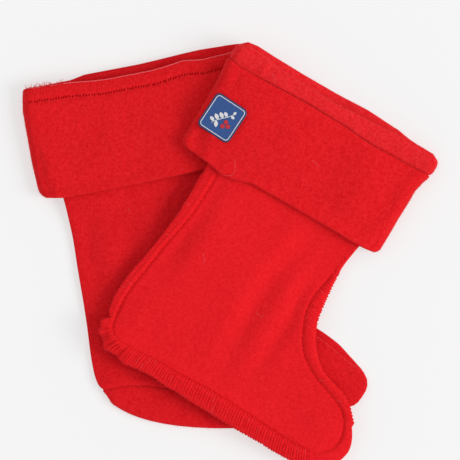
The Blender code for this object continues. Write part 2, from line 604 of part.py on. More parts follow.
# ------------------------------------------------------------------ the badged liner
def badged_liner(ground):
    rows = np.array(BADGED_SECTIONS, float)
    count, columns = len(rows), len(ACROSS)
    panels = Panels(BADGED_LIE, rows[:, 2:4], rows[:, 4:6], rows[:, 0:2], rows[:, 6:8],
                    BADGED_BOW, rows[:, 8:10], ground)
    opened = np.zeros(len(panels.line))
    opened[:count] = rows[:, 10]
    opened[count:count + columns - 1] = np.linspace(1.0, 0.0, columns - 1)
    flat = mouth_shift(panels, panels.flat, BADGED_CUFF["top_upper"])
    lower, upper = panels.solids(flat, flat, opened, PINCH)
    add_piece("badged_side_down", *lower, (0.62, 0.013, 0.018))
    add_piece("badged_side_up", *upper, (0.72, 0.016, 0.022))

    # The sole is folded inward between the panels. Its points are theirs, moved off.
    picks = list(range(BADGED_HEEL, count))
    xy = to_surface(BADGED_LIE, panels.flat)
    outer, inner = [], []
    for j in picks:
        ring = [track[j] for track in panels.tracks[:0:-1]] + [panels.tracks[0][j]]
        inside = [j * columns + k for k in (1, 2, 3)]
        track = ring + inside
        low = panels.low_top[track] + SEAM
        high = panels.up_under[track] - SEAM
        wall = np.minimum(SOLE_WALL, (high - low - SEAM) / 2)
        places = xy[track]
        tip = 0.5 * (low[-1] + high[-1])
        nose = 0.3 * (high[-1] - low[-1])
        last = places[-1] * 0.55 + places[-2] * 0.45
        outer += [(*p, z) for p, z in zip(places[:-1], low[:-1])]
        outer += [(*last, tip - nose), (*last, tip + nose)]
        outer += [(*p, z) for p, z in zip(places[-2::-1], high[-2::-1])]
        inner += [(*p, z) for p, z in zip(places[:-1], (low + wall)[:-1])]
        inner += [(*(places[-2] * 0.8 + last * 0.2), tip - 0.12),
                  (*(places[-2] * 0.8 + last * 0.2), tip + 0.12)]
        inner += [(*p, z) for p, z in zip(places[-2::-1], (high - wall)[-2::-1])]
    size = len(outer) // len(picks)
    faces = []
    for k in range(len(picks) - 1):
        for m in range(size - 1):
            a, b, c, d = (k * size + m, k * size + m + 1, (k + 1) * size + m + 1,
                          (k + 1) * size + m)
            faces += split(a, b, c, d) if m < size // 2 else split(b, c, d, a)
    add_piece("badged_sole", *wall_solid(np.array(outer), np.array(inner), faces),
              (0.55, 0.01, 0.015))

    def leg_back(v):
        return float(np.interp(v, rows[:, 1], rows[:, 0]))

    def leg_front(v):
        return float(np.interp(v, rows[:, 7], rows[:, 6]))

    points, faces = add_piece("badged_cuff", *cuff(BADGED_LIE, BADGED_CUFF, ground,
                                                   leg_back, leg_front),
                              (0.70, 0.016, 0.022))
    add_piece("badged_roll", *roll(BADGED_LIE, ROLL, ground), (0.70, 0.02, 0.028))
    return points, faces


# ------------------------------------------------------------------ the badge
def badge(cuff_points, cuff_faces):
    """A moulded plate that lies on the cuff: its underside is the cuff moved off."""
    top = Ground()
    top.step, top.count = 1.0, 381
    top.height = np.zeros((top.count, top.count))
    centre = to_surface(BADGED_LIE, np.array([BADGE["u"], BADGE["v"]]))
    near = [face for face in cuff_faces
            if np.linalg.norm(cuff_points[list(face), :2].mean(axis=0) - centre) < 40]
    top.pile(cuff_points, near)

    half_w, half_l, corner = BADGE["width"] / 2, BADGE["length"] / 2, BADGE["corner"]
    outline = []
    for sx, sy, start in ((1, 1, 0), (-1, 1, 90), (-1, -1, 180), (1, -1, 270)):
        for k in range(5):
            a = math.radians(start + 22.5 * k)
            outline.append((sx * (half_w - corner) + corner * math.cos(a),
                            sy * (half_l - corner) + corner * math.sin(a)))
    outline = np.array(outline)
    turn = math.radians(BADGE["turn"])
    spin = np.array([[math.cos(turn), -math.sin(turn)], [math.sin(turn), math.cos(turn)]])
    rings = [outline * part for part in (1.0, 0.93, 0.76, 0.58, 0.4, 0.2)]
    flat = np.vstack([ring @ spin.T for ring in rings] + [np.zeros((1, 2))])
    xy = to_surface(BADGED_LIE, flat + np.array([BADGE["u"], BADGE["v"]]))

    # The highest place of the cuff close to each point, so the plate clears the weave.
    around = [(reach * math.cos(a * math.pi / 6), reach * math.sin(a * math.pi / 6))
              for reach in (0.0, 1.5, 3.0, 4.5) for a in range(12)]
    seat = np.max([top.at(xy + step) for step in around], axis=0)
    tilt = np.c_[xy - centre, np.ones(len(xy))]
    plane, *_ = np.linalg.lstsq(tilt, seat, rcond=None)
    seat = np.maximum(seat, tilt @ plane) + BADGE_LIFT
    count = len(outline)
    cut = np.zeros(len(xy))
    cut[:count] = 0.5
    faces = []
    last = len(rings) - 1
    for ring in range(last):
        for k in range(count):
            n = (k + 1) % count
            faces += split(ring * count + k, ring * count + n, (ring + 1) * count + n,
                           (ring + 1) * count + k)
    for k in range(count):
        faces.append((last * count + k, last * count + (k + 1) % count,
                      (last + 1) * count))
    add_piece("badge", *wall_solid(np.c_[xy, seat + BADGE_WALL - cut],
                                   np.c_[xy, seat], faces), (0.012, 0.09, 0.42), 0.45)


# ------------------------------------------------------------------ build
floor = Ground()
plain_liner(floor)
beneath = Ground()
for _, piece_points, piece_faces, _, _ in PIECES:
    beneath.pile(piece_points, piece_faces)
beneath.drape(reach=14.0, slope=0.26, softness=26)
badge(*badged_liner(beneath))

for name, points, faces, colour, roughness in PIECES:
    mesh = bpy.data.meshes.new(name)
    mesh.from_pydata((points * 0.001).tolist(), [], [list(face) for face in faces])
    mesh.update()
    item = bpy.data.objects.new(name, mesh)
    bpy.context.scene.collection.objects.link(item)
    material = bpy.data.materials.new(name + "_cloth")
    material.use_nodes = True
    shader = material.node_tree.nodes["Principled BSDF"]
    shader.inputs["Base Color"].default_value = (*colour, 1.0)
    shader.inputs["Roughness"].default_value = roughness
    shader.inputs["Metallic"].default_value = 0.0
    mesh.materials.append(material)
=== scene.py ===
# %% [markdown]
# # A pair of fleece boot liners
# Two red liners lie flat, one across the other, seen from straight above. The plain
# one underneath has its seams inside. The one on top shows its overlocked seams as
# flat ridges, has a rolled top and a small moulded badge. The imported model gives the
# solids; this lesson dresses them in cloth that folds, with pile and thread.

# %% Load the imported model
import math

import bmesh
import bpy
import numpy as np
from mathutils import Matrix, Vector
from mathutils.bvhtree import BVHTree


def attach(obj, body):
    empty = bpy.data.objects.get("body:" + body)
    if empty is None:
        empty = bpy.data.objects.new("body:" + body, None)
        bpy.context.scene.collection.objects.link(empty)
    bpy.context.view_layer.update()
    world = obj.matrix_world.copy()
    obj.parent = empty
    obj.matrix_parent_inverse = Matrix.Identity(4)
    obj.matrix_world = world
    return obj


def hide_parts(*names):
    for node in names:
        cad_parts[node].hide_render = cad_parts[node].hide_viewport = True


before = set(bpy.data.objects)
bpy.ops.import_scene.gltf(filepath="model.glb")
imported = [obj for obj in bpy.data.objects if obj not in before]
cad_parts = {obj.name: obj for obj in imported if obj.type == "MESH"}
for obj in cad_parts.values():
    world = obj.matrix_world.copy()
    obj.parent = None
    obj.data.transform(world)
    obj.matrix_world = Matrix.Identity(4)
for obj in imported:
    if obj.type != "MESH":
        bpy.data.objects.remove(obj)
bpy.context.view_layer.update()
MM = 0.001
print("packed nodes:", sorted(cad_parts))

# %% [markdown]
# ## Sizes and the lie of each liner
# A liner is cut flat, so it is easiest to draw flat: u runs along the mouth from the
# back of the leg to the front, v runs down the leg. Each liner then gets one place
# and one turn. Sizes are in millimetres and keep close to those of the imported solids.

# %% Named sizes
FLEECE = 2.0            # one layer of fleece
CUFF_WALL = 3.2         # thicker fleece of the cuffs
SOLE_WALL = 1.8
SEAM = 0.3              # room left between sewn pieces
HAIR = 0.02             # room left where two sewn edges meet, so that no slot shows
CUFF_ROOM, CUFF_ROOM_SIDE, SIDE_EASE = 6.2, 2.6, 12.0
SEAM_IN = 4.0           # the plain liner's panels turn in over this width
SWELL = 24.0            # full thickness is reached this far from a seam
TOE_EASE = 28.0         # the toe's bow starts this far up the foot
FLARE = 1.6             # how far a cuff's free edge stands up off the leg
CURL, FRONT_CURL = 3.6, 3.2     # how far the badged liner's edges stand up
ROLL_HALF, ROLL_STEP = 3.0, 6.6
STITCH = 1.9            # pitch of the overlock thread
PLAIN_LIE = dict(x=-134.418, y=109.316, turn=11.3)
BADGED_LIE = dict(x=0.132, y=129.466, turn=-30.0)

# %% Section tables, one row per section from mouth to toe
# Plain: back u and v, front u and v, lift, room, open, bare, sole fold u and v.
PLAIN_SECTIONS = np.array((
    (3.6, 1.0, 142.8, 1.0, 3.8, 1.0, 0, 0.0, 12.8, 208.9),
    (5.5, 28.0, 137.0, 28.0, 3.8, 1.0, 0, 0.0, 12.8, 208.9),
    (8.8, 54.0, 129.0, 54.0, 3.8, 1.0, 0, 0.0, 12.8, 208.9),
    (11.6, 79.0, 122.5, 78.0, 3.8, 1.0, 0, 0.0, 12.8, 208.9),
    (11.9, 91.0, 121.6, 90.0, 0.8, 1.5, 0, 0.0, 12.8, 208.9),
    (12.2, 103.0, 122.2, 102.0, 0.0, 2.0, 0, 0.0, 12.8, 208.9),
    (11.2, 122.0, 123.3, 117.0, 0.0, 2.2, 0, 0.0, 12.8, 208.9),
    (10.7, 143.0, 125.0, 133.0, 0.0, 2.2, 0, 0.0, 12.8, 208.9),
    (9.9, 161.0, 127.6, 146.0, 0.0, 2.2, 0, 0.0, 12.8, 208.9),
    (8.5, 178.0, 131.0, 157.0, 0.0, 2.2, 0, 0.5, 12.8, 208.9),
    (8.2, 193.4, 135.5, 165.8, 0.0, 2.2, 0, 2.0, 12.8, 208.9),
    (10.6, 203.9, 140.5, 173.0, 0.0, 2.2, 1, 3.6, 12.8, 208.9),
    (20.0, 201.9, 144.5, 177.6, 0.0, 2.2, 1, 4.4, 17.4, 214.4),
    (32.0, 203.0, 148.5, 182.0, 0.0, 2.2, 1, 4.8, 25.0, 221.4),
    (46.0, 207.3, 152.0, 186.0, 0.0, 2.2, 1, 4.8, 36.0, 227.6),
    (64.0, 213.0, 155.4, 189.7, 0.0, 2.2, 1, 4.6, 52.0, 234.4),
    (84.0, 218.0, 159.6, 193.8, 0.0, 2.2, 1, 4.4, 74.0, 240.6),
    (105.5, 221.9, 164.1, 198.6, 0.0, 2.2, 1, 4.4, 98.0, 245.0),
    (126.0, 224.6, 168.6, 203.9, 0.0, 2.2, 1, 4.2, 121.0, 248.0),
    (144.0, 229.5, 172.2, 210.1, 0.0, 2.2, 1, 3.4, 141.0, 249.4),
    (157.0, 237.0, 176.0, 216.4, 0.0, 2.2, 1, 1.8, 154.5, 247.6),
    (165.5, 243.6, 179.2, 221.9, 0.0, 2.2, 1, 0.8, 166.2, 245.0),
))
# Its toe's outline between the last section's two sides.
PLAIN_TOE = ((167.2, 244.5), (170.0, 244.1), (172.9, 242.7), (176.5, 239.4), (179.5, 236.1),
             (181.1, 233.1), (181.6, 229.2), (180.7, 225.4))
# Badged: edge u v, seam u v, front seam u v, front edge u v, lift, room, open.
BADGED_SECTIONS = np.array((
    (5.2, 0.0, 8.5, 0.0, 142.5, 0.0, 145.8, 0.0, 3.8, 1.0, 0),
    (9.5, 26.0, 13.5, 26.0, 138.5, 26.0, 141.6, 26.0, 3.8, 1.0, 0),
    (16.5, 50.0, 22.5, 50.0, 134.0, 49.0, 136.8, 49.0, 3.8, 1.0, 0),
    (22.3, 70.0, 30.3, 70.0, 130.7, 69.0, 132.8, 69.0, 3.8, 1.0, 0),
    (21.2, 82.0, 30.0, 82.0, 129.4, 81.0, 130.9, 81.0, 0.9, 1.7, 0),
    (21.7, 94.0, 29.6, 94.0, 127.0, 93.5, 131.1, 93.5, 0.0, 2.6, 0),
    (20.8, 109.0, 27.7, 108.6, 123.9, 108.0, 132.4, 107.5, 0.0, 3.0, 0),
    (18.3, 129.6, 23.4, 129.5, 125.3, 120.5, 134.0, 120.0, 0.0, 3.0, 0),
    (15.0, 144.7, 21.1, 146.0, 128.8, 129.0, 137.2, 128.4, 0.0, 3.0, 0),
    (12.8, 161.5, 18.4, 162.0, 132.2, 136.2, 140.9, 134.9, 0.0, 3.2, 0),
    (11.8, 174.1, 18.1, 173.0, 135.8, 141.6, 144.6, 139.2, 0.0, 3.8, 0),
    (13.9, 184.4, 19.3, 182.8, 140.0, 145.4, 148.6, 143.2, 0.0, 4.6, 0),
    (13.4, 192.4, 20.0, 190.3, 144.2, 148.4, 152.0, 145.8, 0.0, 4.8, 0.7),
    (17.2, 200.0, 24.0, 194.7, 148.4, 151.0, 155.6, 147.9, 0.0, 4.8, 1),
    (26.5, 205.2, 31.5, 195.4, 152.4, 152.9, 159.0, 149.1, 0.0, 4.8, 1),
    (39.5, 207.3, 42.0, 195.6, 156.3, 154.4, 162.5, 150.3, 0.0, 4.8, 1),
    (55.0, 204.3, 57.0, 194.2, 160.3, 155.7, 166.0, 151.2, 0.0, 4.8, 1),
    (74.5, 206.2, 74.0, 194.6, 164.0, 157.1, 169.6, 152.1, 0.0, 4.8, 1),
    (95.0, 206.4, 94.0, 193.6, 167.6, 158.5, 173.2, 153.5, 0.0, 4.8, 1),
    (114.0, 207.3, 113.0, 194.2, 171.0, 159.8, 176.6, 155.2, 0.0, 4.8, 1),
    (131.0, 207.7, 130.0, 195.5, 174.0, 161.2, 179.6, 157.3, 0.0, 4.8, 1),
    (149.0, 207.4, 147.0, 196.6, 176.6, 162.7, 182.0, 159.8, 0.0, 4.8, 1),
    (165.0, 207.2, 162.0, 197.0, 178.8, 164.6, 184.6, 162.6, 0.0, 4.8, 1),
    (181.0, 205.0, 174.5, 196.0, 181.0, 167.4, 188.0, 166.4, 0.0, 4.8, 1),
))
PLAIN_BOW, BADGED_BOW = 3.6, 7.5
PLAIN_HEEL, BADGED_HEEL = 11, 12

# %% Edges of the cuffs and the roll
SEAM_LINE = ((0, 1.8), (8, 3.1), (31, 2.9), (57, 2.1), (84, 2.4), (105, 4.1), (131, 3.5),
             (151, 2.6))
PLAIN_CUFF = dict(
    top_upper=((0, 0.8), (24, 1.9), (54, 4.8), (84, 5.0), (105, 2.9), (118, 4.4),
               (133, 3.9), (149, 1.4)),
    top_lower=((0, 0.8), (30, 0.9), (41, -0.8), (75, -0.5), (116, -2.0), (134, -1.4),
               (149, -0.5)),
    free_upper=((-4, 72.5), (12, 75.2), (40, 75.6), (103, 75.4), (144, 74.0)),
    free_lower=((-4, 72.5), (12, 75.0), (40, 75.2), (103, 75.0), (144, 74.0)),
    back=((0, -0.6), (17.6, -3.7), (31.7, -4.0), (48.8, -4.4), (64.2, -3.9), (76, -2.2)),
    front=((0, 148.8), (17.6, 149.4), (31.7, 148.2), (48.8, 146.2), (64.2, 144.6),
           (76, 143.6)),
)
BADGED_CUFF = dict(
    top_upper=tuple((u, v - 0.1) for u, v in SEAM_LINE),
    top_lower=tuple((u, v - 0.1) for u, v in SEAM_LINE),
    free_upper=((-1, 64.6), (6, 65.9), (18, 66.9), (34, 69.6), (43, 68.0), (53, 64.8),
                (74, 64.7), (106, 64.5), (133, 64.9), (147, 63.6)),
    free_lower=((-1, 64.6), (30, 66.5), (60, 65.0), (147, 63.6)),
    back=((3, -1.6), (11, -0.8), (18, 0.0), (29, 0.4), (42, 0.1), (56, -0.2), (70, -0.4)),
    front=((3, 151.0), (11, 148.6), (18, 147.2), (29, 147.2), (42, 146.8), (56, 146.8),
           (70, 146.5)),
)
ROLL = dict(
    top_upper=((0, -7.0), (8, -11.6), (20, -10.9), (34, -8.6), (51, -8.1), (72, -7.2),
               (96, -8.7), (119, -10.1), (136, -11.1), (145, -10.9), (151, -7.6)),
    top_lower=((0, -9.5), (5, -13.6), (12, -14.5), (26, -13.9), (48, -13.5), (71, -13.6),
               (94, -14.5), (117, -13.3), (128, -11.6), (145, -10.0), (151, -7.6)),
    back=-0.9, front=151.4,
)
BADGE = dict(u=15.3, v=37.4, width=24.0, length=25.4, turn=3.5, corner=3.4)


# %% Small helpers
def unit(value):
    """The value kept between 0 and 1."""
    return np.clip(value, 0, 1)


def rise(value, start, length):
    """0 up to the start, then up to 1 over the length."""
    return unit((value - start) / length)


def smooth(share):
    """A share from 0 to 1, eased at both ends."""
    return share * share * (3 - 2 * share)


def bell(distance, width):
    """1 at no distance, falling off softly over the width."""
    return np.exp(-(distance / width) ** 2)


def run_of(line):
    """Length run so far at each point of a line."""
    return np.concatenate([[0], np.cumsum(np.linalg.norm(np.diff(line, axis=0), axis=1))])


def table_value(table, at):
    """Value of a two-column table at each place, eased between its rows."""
    keys, values = np.array(table, float).T
    low = np.clip(np.searchsorted(keys, at) - 1, 0, len(keys) - 2)
    part = rise(at, keys[low], keys[low + 1] - keys[low])
    return values[low] + (values[low + 1] - values[low]) * (part + smooth(part)) / 2


def grid_value(grid, cell, part):
    """Value of a grid of numbers part of the way across each cell."""
    i, j = cell[..., 0], cell[..., 1]
    fx, fy = part[..., 0], part[..., 1]
    return (grid[i, j] * (1 - fx) * (1 - fy) + grid[i + 1, j] * fx * (1 - fy)
            + grid[i, j + 1] * (1 - fx) * fy + grid[i + 1, j + 1] * fx * fy)


def to_surface(lie, points):
    """From a liner's flat frame to the surface that both liners lie on."""
    turn = math.radians(lie["turn"])
    u, v = points[..., 0], points[..., 1]
    return np.stack([lie["x"] + u * math.cos(turn) + v * math.sin(turn),
                     lie["y"] + u * math.sin(turn) - v * math.cos(turn)], axis=-1)


def outward(points):
    """Outward directions along a line down the back, round the toe and up the front."""
    along = np.gradient(points, axis=0)
    along /= np.maximum(np.linalg.norm(along, axis=1), 1e-9)[:, None]
    return np.stack([-along[:, 1], along[:, 0]], axis=1)


def soften(rows, passes):
    """Round the corners of a filled-in table, its two ends kept."""
    rows = rows.copy()
    for _ in range(passes):
        rows[1:-1] = rows[:-2] * 0.25 + rows[1:-1] * 0.5 + rows[2:] * 0.25
    return rows


def fill_in(table, left, right, step, rounding=4.0):
    """Rows a step apart from a short section table; left and right are its sides."""
    run = (run_of(table[:, left]) + run_of(table[:, right])) / 2
    keys = np.arange(len(run))
    place = np.interp(np.linspace(0, run[-1], int(run[-1] / step) + 1), run, keys)
    rows = np.stack([np.interp(place, keys, column) for column in table.T], axis=1)
    return soften(rows, int(2 * (rounding / step) ** 2))


# %% [markdown]
# ## What the upper liner rests on
# Cloth does not cut through what lies beneath: it carries past an edge and then falls
# in a soft slope. A grid of heights, looked up from above on the lower liner's
# solids, widened, sloped and blurred, gives that surface.

# %% The draped surface
GRID_LOW, GRID_STEP = -190.0, 2.0       # first place and step of the grid of heights
GRID_COUNT = int(-2 * GRID_LOW / GRID_STEP) + 1
OVERHANG, TALLEST = 14.0, 14.0          # cloth carries on so far; no step is taller
SPAN_EASE = 24.0                        # upper faces span fully this far from an edge


def skin(*pieces):
    """The outer faces of some pieces as one tree, for laying things on them."""
    verts, faces = [], []
    for piece in pieces:
        start = len(verts)
        verts += [v.co.copy() for v in piece.data.vertices]
        faces += [[start + k for k in p.vertices] for p in piece.data.polygons]
    return BVHTree.FromPolygons(verts, faces)


def drop(tree, x, y):
    """Height of a skin at a place, or None where the place is off it."""
    spot = tree.ray_cast(Vector((x * MM, y * MM, 1.0)), Vector((0, 0, -1)))[0]
    return None if spot is None else spot.z / MM


def lay(tree, places, above=0.0):
    """Points on top of a skin, the given height above it; places off it are left out."""
    dropped = [(x, y, drop(tree, x, y)) for x, y in places]
    return np.array([(x, y, z + above) for x, y, z in dropped if z is not None])


def drape(field, slope, softness):
    """Cloth over the heights: carried past each edge, sloped down and eased out."""
    def beside(field):
        wide = np.pad(field, 1, mode="edge")
        return [(wide[i:i + GRID_COUNT, j:j + GRID_COUNT], math.hypot(i - 1, j - 1))
                for i in range(3) for j in range(3)]

    for steps, fall in ((int(OVERHANG / GRID_STEP), 0.0),
                        (int(TALLEST / (slope * GRID_STEP)), slope)):
        for _ in range(steps):
            field = np.max([near - fall * GRID_STEP * gap for near, gap in beside(field)],
                           axis=0)
    for _ in range(softness):
        field = sum(near for near, _ in beside(field)) / 9.0
    return np.where(field > 0.02, field + SEAM * smooth(unit(field / 2.0)), 0.0)


def height_at(field, points):
    """Height of the cloth below at any places; none on the bare surface."""
    if field is None:
        return np.zeros(points.shape[:-1])
    place = (points - GRID_LOW) / GRID_STEP
    cell = np.clip(np.floor(place).astype(int), 0, GRID_COUNT - 2)
    return grid_value(field, cell, place - cell)


plain_skin = skin(*(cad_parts[name] for name in
                    ("plain_side_down", "plain_side_up", "plain_sole", "plain_cuff")))
grid_places = GRID_LOW + GRID_STEP * np.arange(GRID_COUNT)
beneath = np.array([[drop(plain_skin, x, y) or 0.0 for y in grid_places]
                    for x in grid_places])
draped = drape(beneath, 0.26, 26)
spanned = drape(beneath, 0.11, 60)
print(f"draped surface: highest {draped.max():.1f} mm")


def upper_rise(xy, inland):
    """Upper faces span the steps below more flatly, the more so away from an edge."""
    gain = height_at(spanned, xy) - height_at(draped, xy)
    return np.maximum(gain, 0) * smooth(unit(inland / SPAN_EASE))


# %% [markdown]
# ## Pile and creases
# Fleece is never smooth. Its surface has small tufts about 2 mm across, a slower
# unevenness from the knit, and a few soft creases from folding. The tufts come from
# smooth random noise; the creases are listed one by one, each with its own length,
# depth and width, because creases of one size look like a wave and not like cloth.


# %% Smooth noise and creases
def noise(points, size, seed):
    """Smooth random values from -1 to 1 that change over the given size."""
    table = np.random.default_rng(seed).uniform(-1, 1, (257, 257))
    place = points / size + 97.3
    cell = np.floor(place).astype(int)
    return grid_value(table, cell % 256, smooth(place - cell))


def tufts(points, seed, size=2.1, deep=0.15):
    """Height of the pile: small tufts, larger clumps and a slow unevenness."""
    turned = points @ np.array([[0.8, 0.6], [-0.6, 0.8]])
    return deep * (noise(points, size, seed) + 0.7 * noise(turned, size * 1.7, seed + 1)
                   + 0.5 * noise(points, size * 4.6, seed + 2)
                   + 1.2 * noise(turned, size * 13.0, seed + 3))


def creases(points, folds):
    """Sum of soft troughs (negative) and ridges (positive) along short lines."""
    total = np.zeros(points.shape[:-1])
    for line, deep, wide in folds:
        line = np.array(line, float)
        ends = run_of(line) / run_of(line)[-1]
        gap, where = np.full(total.shape, 1e9), np.zeros(total.shape)
        for k, start in enumerate(line[:-1]):
            way = line[k + 1] - start
            part = unit(((points - start) @ way) / (way @ way))
            away = np.linalg.norm(points - (start + part[..., None] * way), axis=-1)
            where = np.where(away < gap, ends[k] + part * (ends[k + 1] - ends[k]), where)
            gap = np.minimum(away, gap)
        fade = 0.25 + 0.75 * smooth(unit(np.minimum(where, 1 - where) * 3.2))
        total += deep * fade * bell(gap, wide)
    return total


# %% [markdown]
# ## Laying out a side panel
# A side panel is one sheet: a grid of rows down the leg and foot. Its middle columns
# lie between the seam lines; a few more columns on each side, and a few more rows
# round the toe, lie in the strip between the seam line and the cut edge.

# %% Panel layout
STRIP = 10      # columns in the strip between a seam line and the edge
NEAR = np.array((0, 0.45, 0.9, 1.4, 2.0, 2.8, 3.8))     # columns just inside a seam, mm
WEDGE = math.radians(20)    # least turn of the strip at each corner of the toe


def spread(width, step):
    """Shares across each row: close together just inside both seams, then even."""
    even = np.linspace(0, 1, int((width.max() - 2 * NEAR[-1]) / step) + 1)[1:-1]
    near = NEAR / width
    inner = near[:, -1:] + (1 - 2 * near[:, -1:]) * even
    return np.concatenate([near, inner, 1 - near[:, ::-1]], axis=1)


def with_strip(inside):
    """Values inside the seam lines, carried on over the strip round them."""
    return np.pad(inside, ((0, STRIP), (STRIP, STRIP)), mode="edge")


def toe_ways(end, side_left, side_right):
    """Directions across the toe strip, kept between those of the two sides."""
    ways = outward(end)
    angles = np.unwrap(np.arctan2(ways[:, 1], ways[:, 0]))
    left, right = (math.atan2(side[1], side[0]) for side in (side_left, side_right))
    angles = np.clip(angles, right + WEDGE, left - WEDGE)
    angles = soften(angles[:, None], 20)[:, 0]
    return np.stack([np.cos(angles), np.sin(angles)], axis=1)


def reach_to(line, start, way):
    """How far a line of points lies from a start in the given direction."""
    first, step = line[:-1] - start, np.diff(line, axis=0)
    cross = step[:, 0] * way[1] - step[:, 1] * way[0]
    cross = np.where(np.abs(cross) < 1e-9, 1e-9, cross)
    along = (step[:, 0] * first[:, 1] - step[:, 1] * first[:, 0]) / cross
    share = (way[0] * first[:, 1] - way[1] * first[:, 0]) / cross
    hit = (share > -0.02) & (share < 1.02) & (along > 0.2)
    return along[hit].min()


def round_off(grid, passes=24):
    """Soften the roof lines of a grid of heights, its borders kept."""
    grid = grid.copy()
    for _ in range(passes):
        grid[1:-1, 1:-1] = (grid[1:-1, 1:-1] * 0.5 + 0.125 * (
            grid[:-2, 1:-1] + grid[2:, 1:-1] + grid[1:-1, :-2] + grid[1:-1, 2:]))
    return grid


class Layout:
    """One liner's side panels on a fine grid: places, strip parts and heights.

    sides are the back's cut edge and seam line, then the front's seam line and cut
    edge; layers are each row's lift, its room and how open its back is. part runs from
    0 at a seam line to 1 at the cut edge; out is the distance from the seam line,
    positive in the strip; from_back and from_front are the distances in from the two
    long seams.
    """

    def __init__(self, lie, ground, sides, layers, bow, toe_open, across, toe_line=None):
        self.lie, self.ground = lie, ground
        edge_left, left, right, edge_right = sides
        lift, room, opened = layers
        width = np.linalg.norm(right - left, axis=1)[:, None]
        s = spread(width, across)
        self.rows, self.middle = s.shape[0], s.shape[1] - 1
        run = run_of(0.5 * (left + right))[:, None]
        grid = left[:, None] * (1 - s)[..., None] + right[:, None] * s[..., None]
        chord = right[-1] - left[-1]
        toe = np.array([-chord[1], chord[0]]) / np.linalg.norm(chord)
        ease = rise(run, run[-1] - TOE_EASE, TOE_EASE) ** 2
        grid += (ease * bow * 4 * s * (1 - s))[..., None] * toe
        self.from_back = with_strip(s * width)
        self.from_front = self.from_back[:, -1:] - self.from_back
        self.out = with_strip(-np.min([s * width, (1 - s) * width, run[-1] - run + 0 * s],
                                      axis=0))
        self.part = np.zeros(self.out.shape)
        self.flat = np.zeros((*self.out.shape, 2))
        self.flat[:self.rows, STRIP:-STRIP] = grid
        for k in range(STRIP):
            f = (STRIP - k) / STRIP
            for column, seam, edge in ((k, left, edge_left), (-1 - k, right, edge_right)):
                self.flat[:self.rows, column] = seam + (edge - seam) * f
                self.part[:self.rows, column] = f
                self.out[:self.rows, column] = np.linalg.norm(edge - seam, axis=1) * f
        self.lay_toe(sides, grid[-1], s[-1], toe_line)
        self.lift = with_strip(lift[:, None] + 0 * s)
        self.gap = with_strip(self.room_inside(grid, left, right, room, opened, toe_open))

    def lay_toe(self, sides, end, share, toe_line):
        """The strip beyond the toe's last row, with a fan of places at each corner."""
        edge_left, left, right, edge_right = sides
        ways = [edge_left[-1] - left[-1], edge_right[-1] - right[-1]]
        beside = [np.linalg.norm(way) for way in ways]
        ways = [way / length for way, length in zip(ways, beside)]
        away = toe_ways(end, *ways)
        wide = beside[0] + (beside[1] - beside[0]) * share
        if toe_line is not None:
            toe_line = np.vstack([edge_left[-6:], toe_line, edge_right[-6:][::-1]])
            wide = np.array([reach_to(toe_line, *ray) for ray in zip(end, away)])
        for b in range(1, STRIP + 1):
            f, row = b / STRIP, self.rows - 1 + b
            self.flat[row, STRIP:-STRIP] = end + away * (wide * f)[:, None]
            self.part[row, STRIP:-STRIP] = f
            self.out[row, STRIP:-STRIP] = wide * f
            for k in range(STRIP):
                a = (STRIP - k) / STRIP
                turn = f / (a + f)
                for column, tip in ((k, 0), (-1 - k, -1)):
                    way = ways[tip] * (1 - turn) + away[tip] * turn
                    way /= np.linalg.norm(way)
                    reach = beside[tip] * (1 - turn) + wide[tip] * turn
                    if toe_line is not None:
                        reach = reach_to(toe_line, end[tip], way)
                    self.flat[row, column] = end[tip] + way * reach * max(a, f)
                    self.part[row, column] = max(a, f)
                    self.out[row, column] = reach * max(a, f)

    def room_inside(self, grid, left, right, room, opened, toe_open):
        """Height between the two panels: least at the seams, full inside."""
        end = grid[-1, 1:-1]
        line = np.vstack([left, end, right[::-1]])[::2]
        openness = np.concatenate([opened, np.linspace(1, toe_open, len(end)),
                                   np.zeros(self.rows)])
        line_room = np.concatenate([room, np.full(len(end), room[-1]), room[::-1]])
        line_gap = (SEAM + openness * (line_room - SEAM))[::2]
        gap = np.zeros(grid.shape[:2])
        for r, places in enumerate(grid):
            away = np.linalg.norm(places[:, None] - line, axis=2)
            swell = np.sin(unit(away.min(axis=1) / SWELL) * math.pi / 2)
            weight = 1.0 / (away + 0.3) ** 4
            side = (weight * line_gap).sum(axis=1) / weight.sum(axis=1)
            gap[r] = side + (room[r] - side) * swell
        return round_off(gap)

    def heights(self, flat):
        """Places on the surface, the lower panel's underside, the upper's underside."""
        xy = to_surface(self.lie, flat)
        low = height_at(self.ground, xy) + self.lift
        return xy, low, low + FLEECE + self.gap


def row_at(column, value):
    """The first row whose value in a rising column reaches the given one."""
    return int(np.searchsorted(column, value))


def nearest_row(rows, section):
    """The filled-in row that is nearest to a section's back edge."""
    return int(np.argmin(np.linalg.norm(rows[:, 0:2] - section[0:2], axis=1)))


def cut_away(part):
    """How far the free face falls off from the seam line to the edge."""
    return np.interp(part, (0, 0.45, 0.8, 0.93, 1.0), (0, 0.1, 0.4, 0.6, 0.85))


# %% A grid of points becomes a sheet with a wall
def add_object(name, data):
    """An object with this data, linked into the scene."""
    added = bpy.data.objects.new(name, data)
    bpy.context.scene.collection.objects.link(added)
    return added


def mesh_object(name, bm, material):
    """A finished bmesh as an object of one material."""
    mesh = bpy.data.meshes.new(name)
    bm.to_mesh(mesh)
    bm.free()
    mesh.materials.append(material)
    return add_object(name, mesh)


def dress(piece, node):
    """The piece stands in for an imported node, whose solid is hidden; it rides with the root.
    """
    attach(piece, "root")
    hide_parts(node)
    return piece


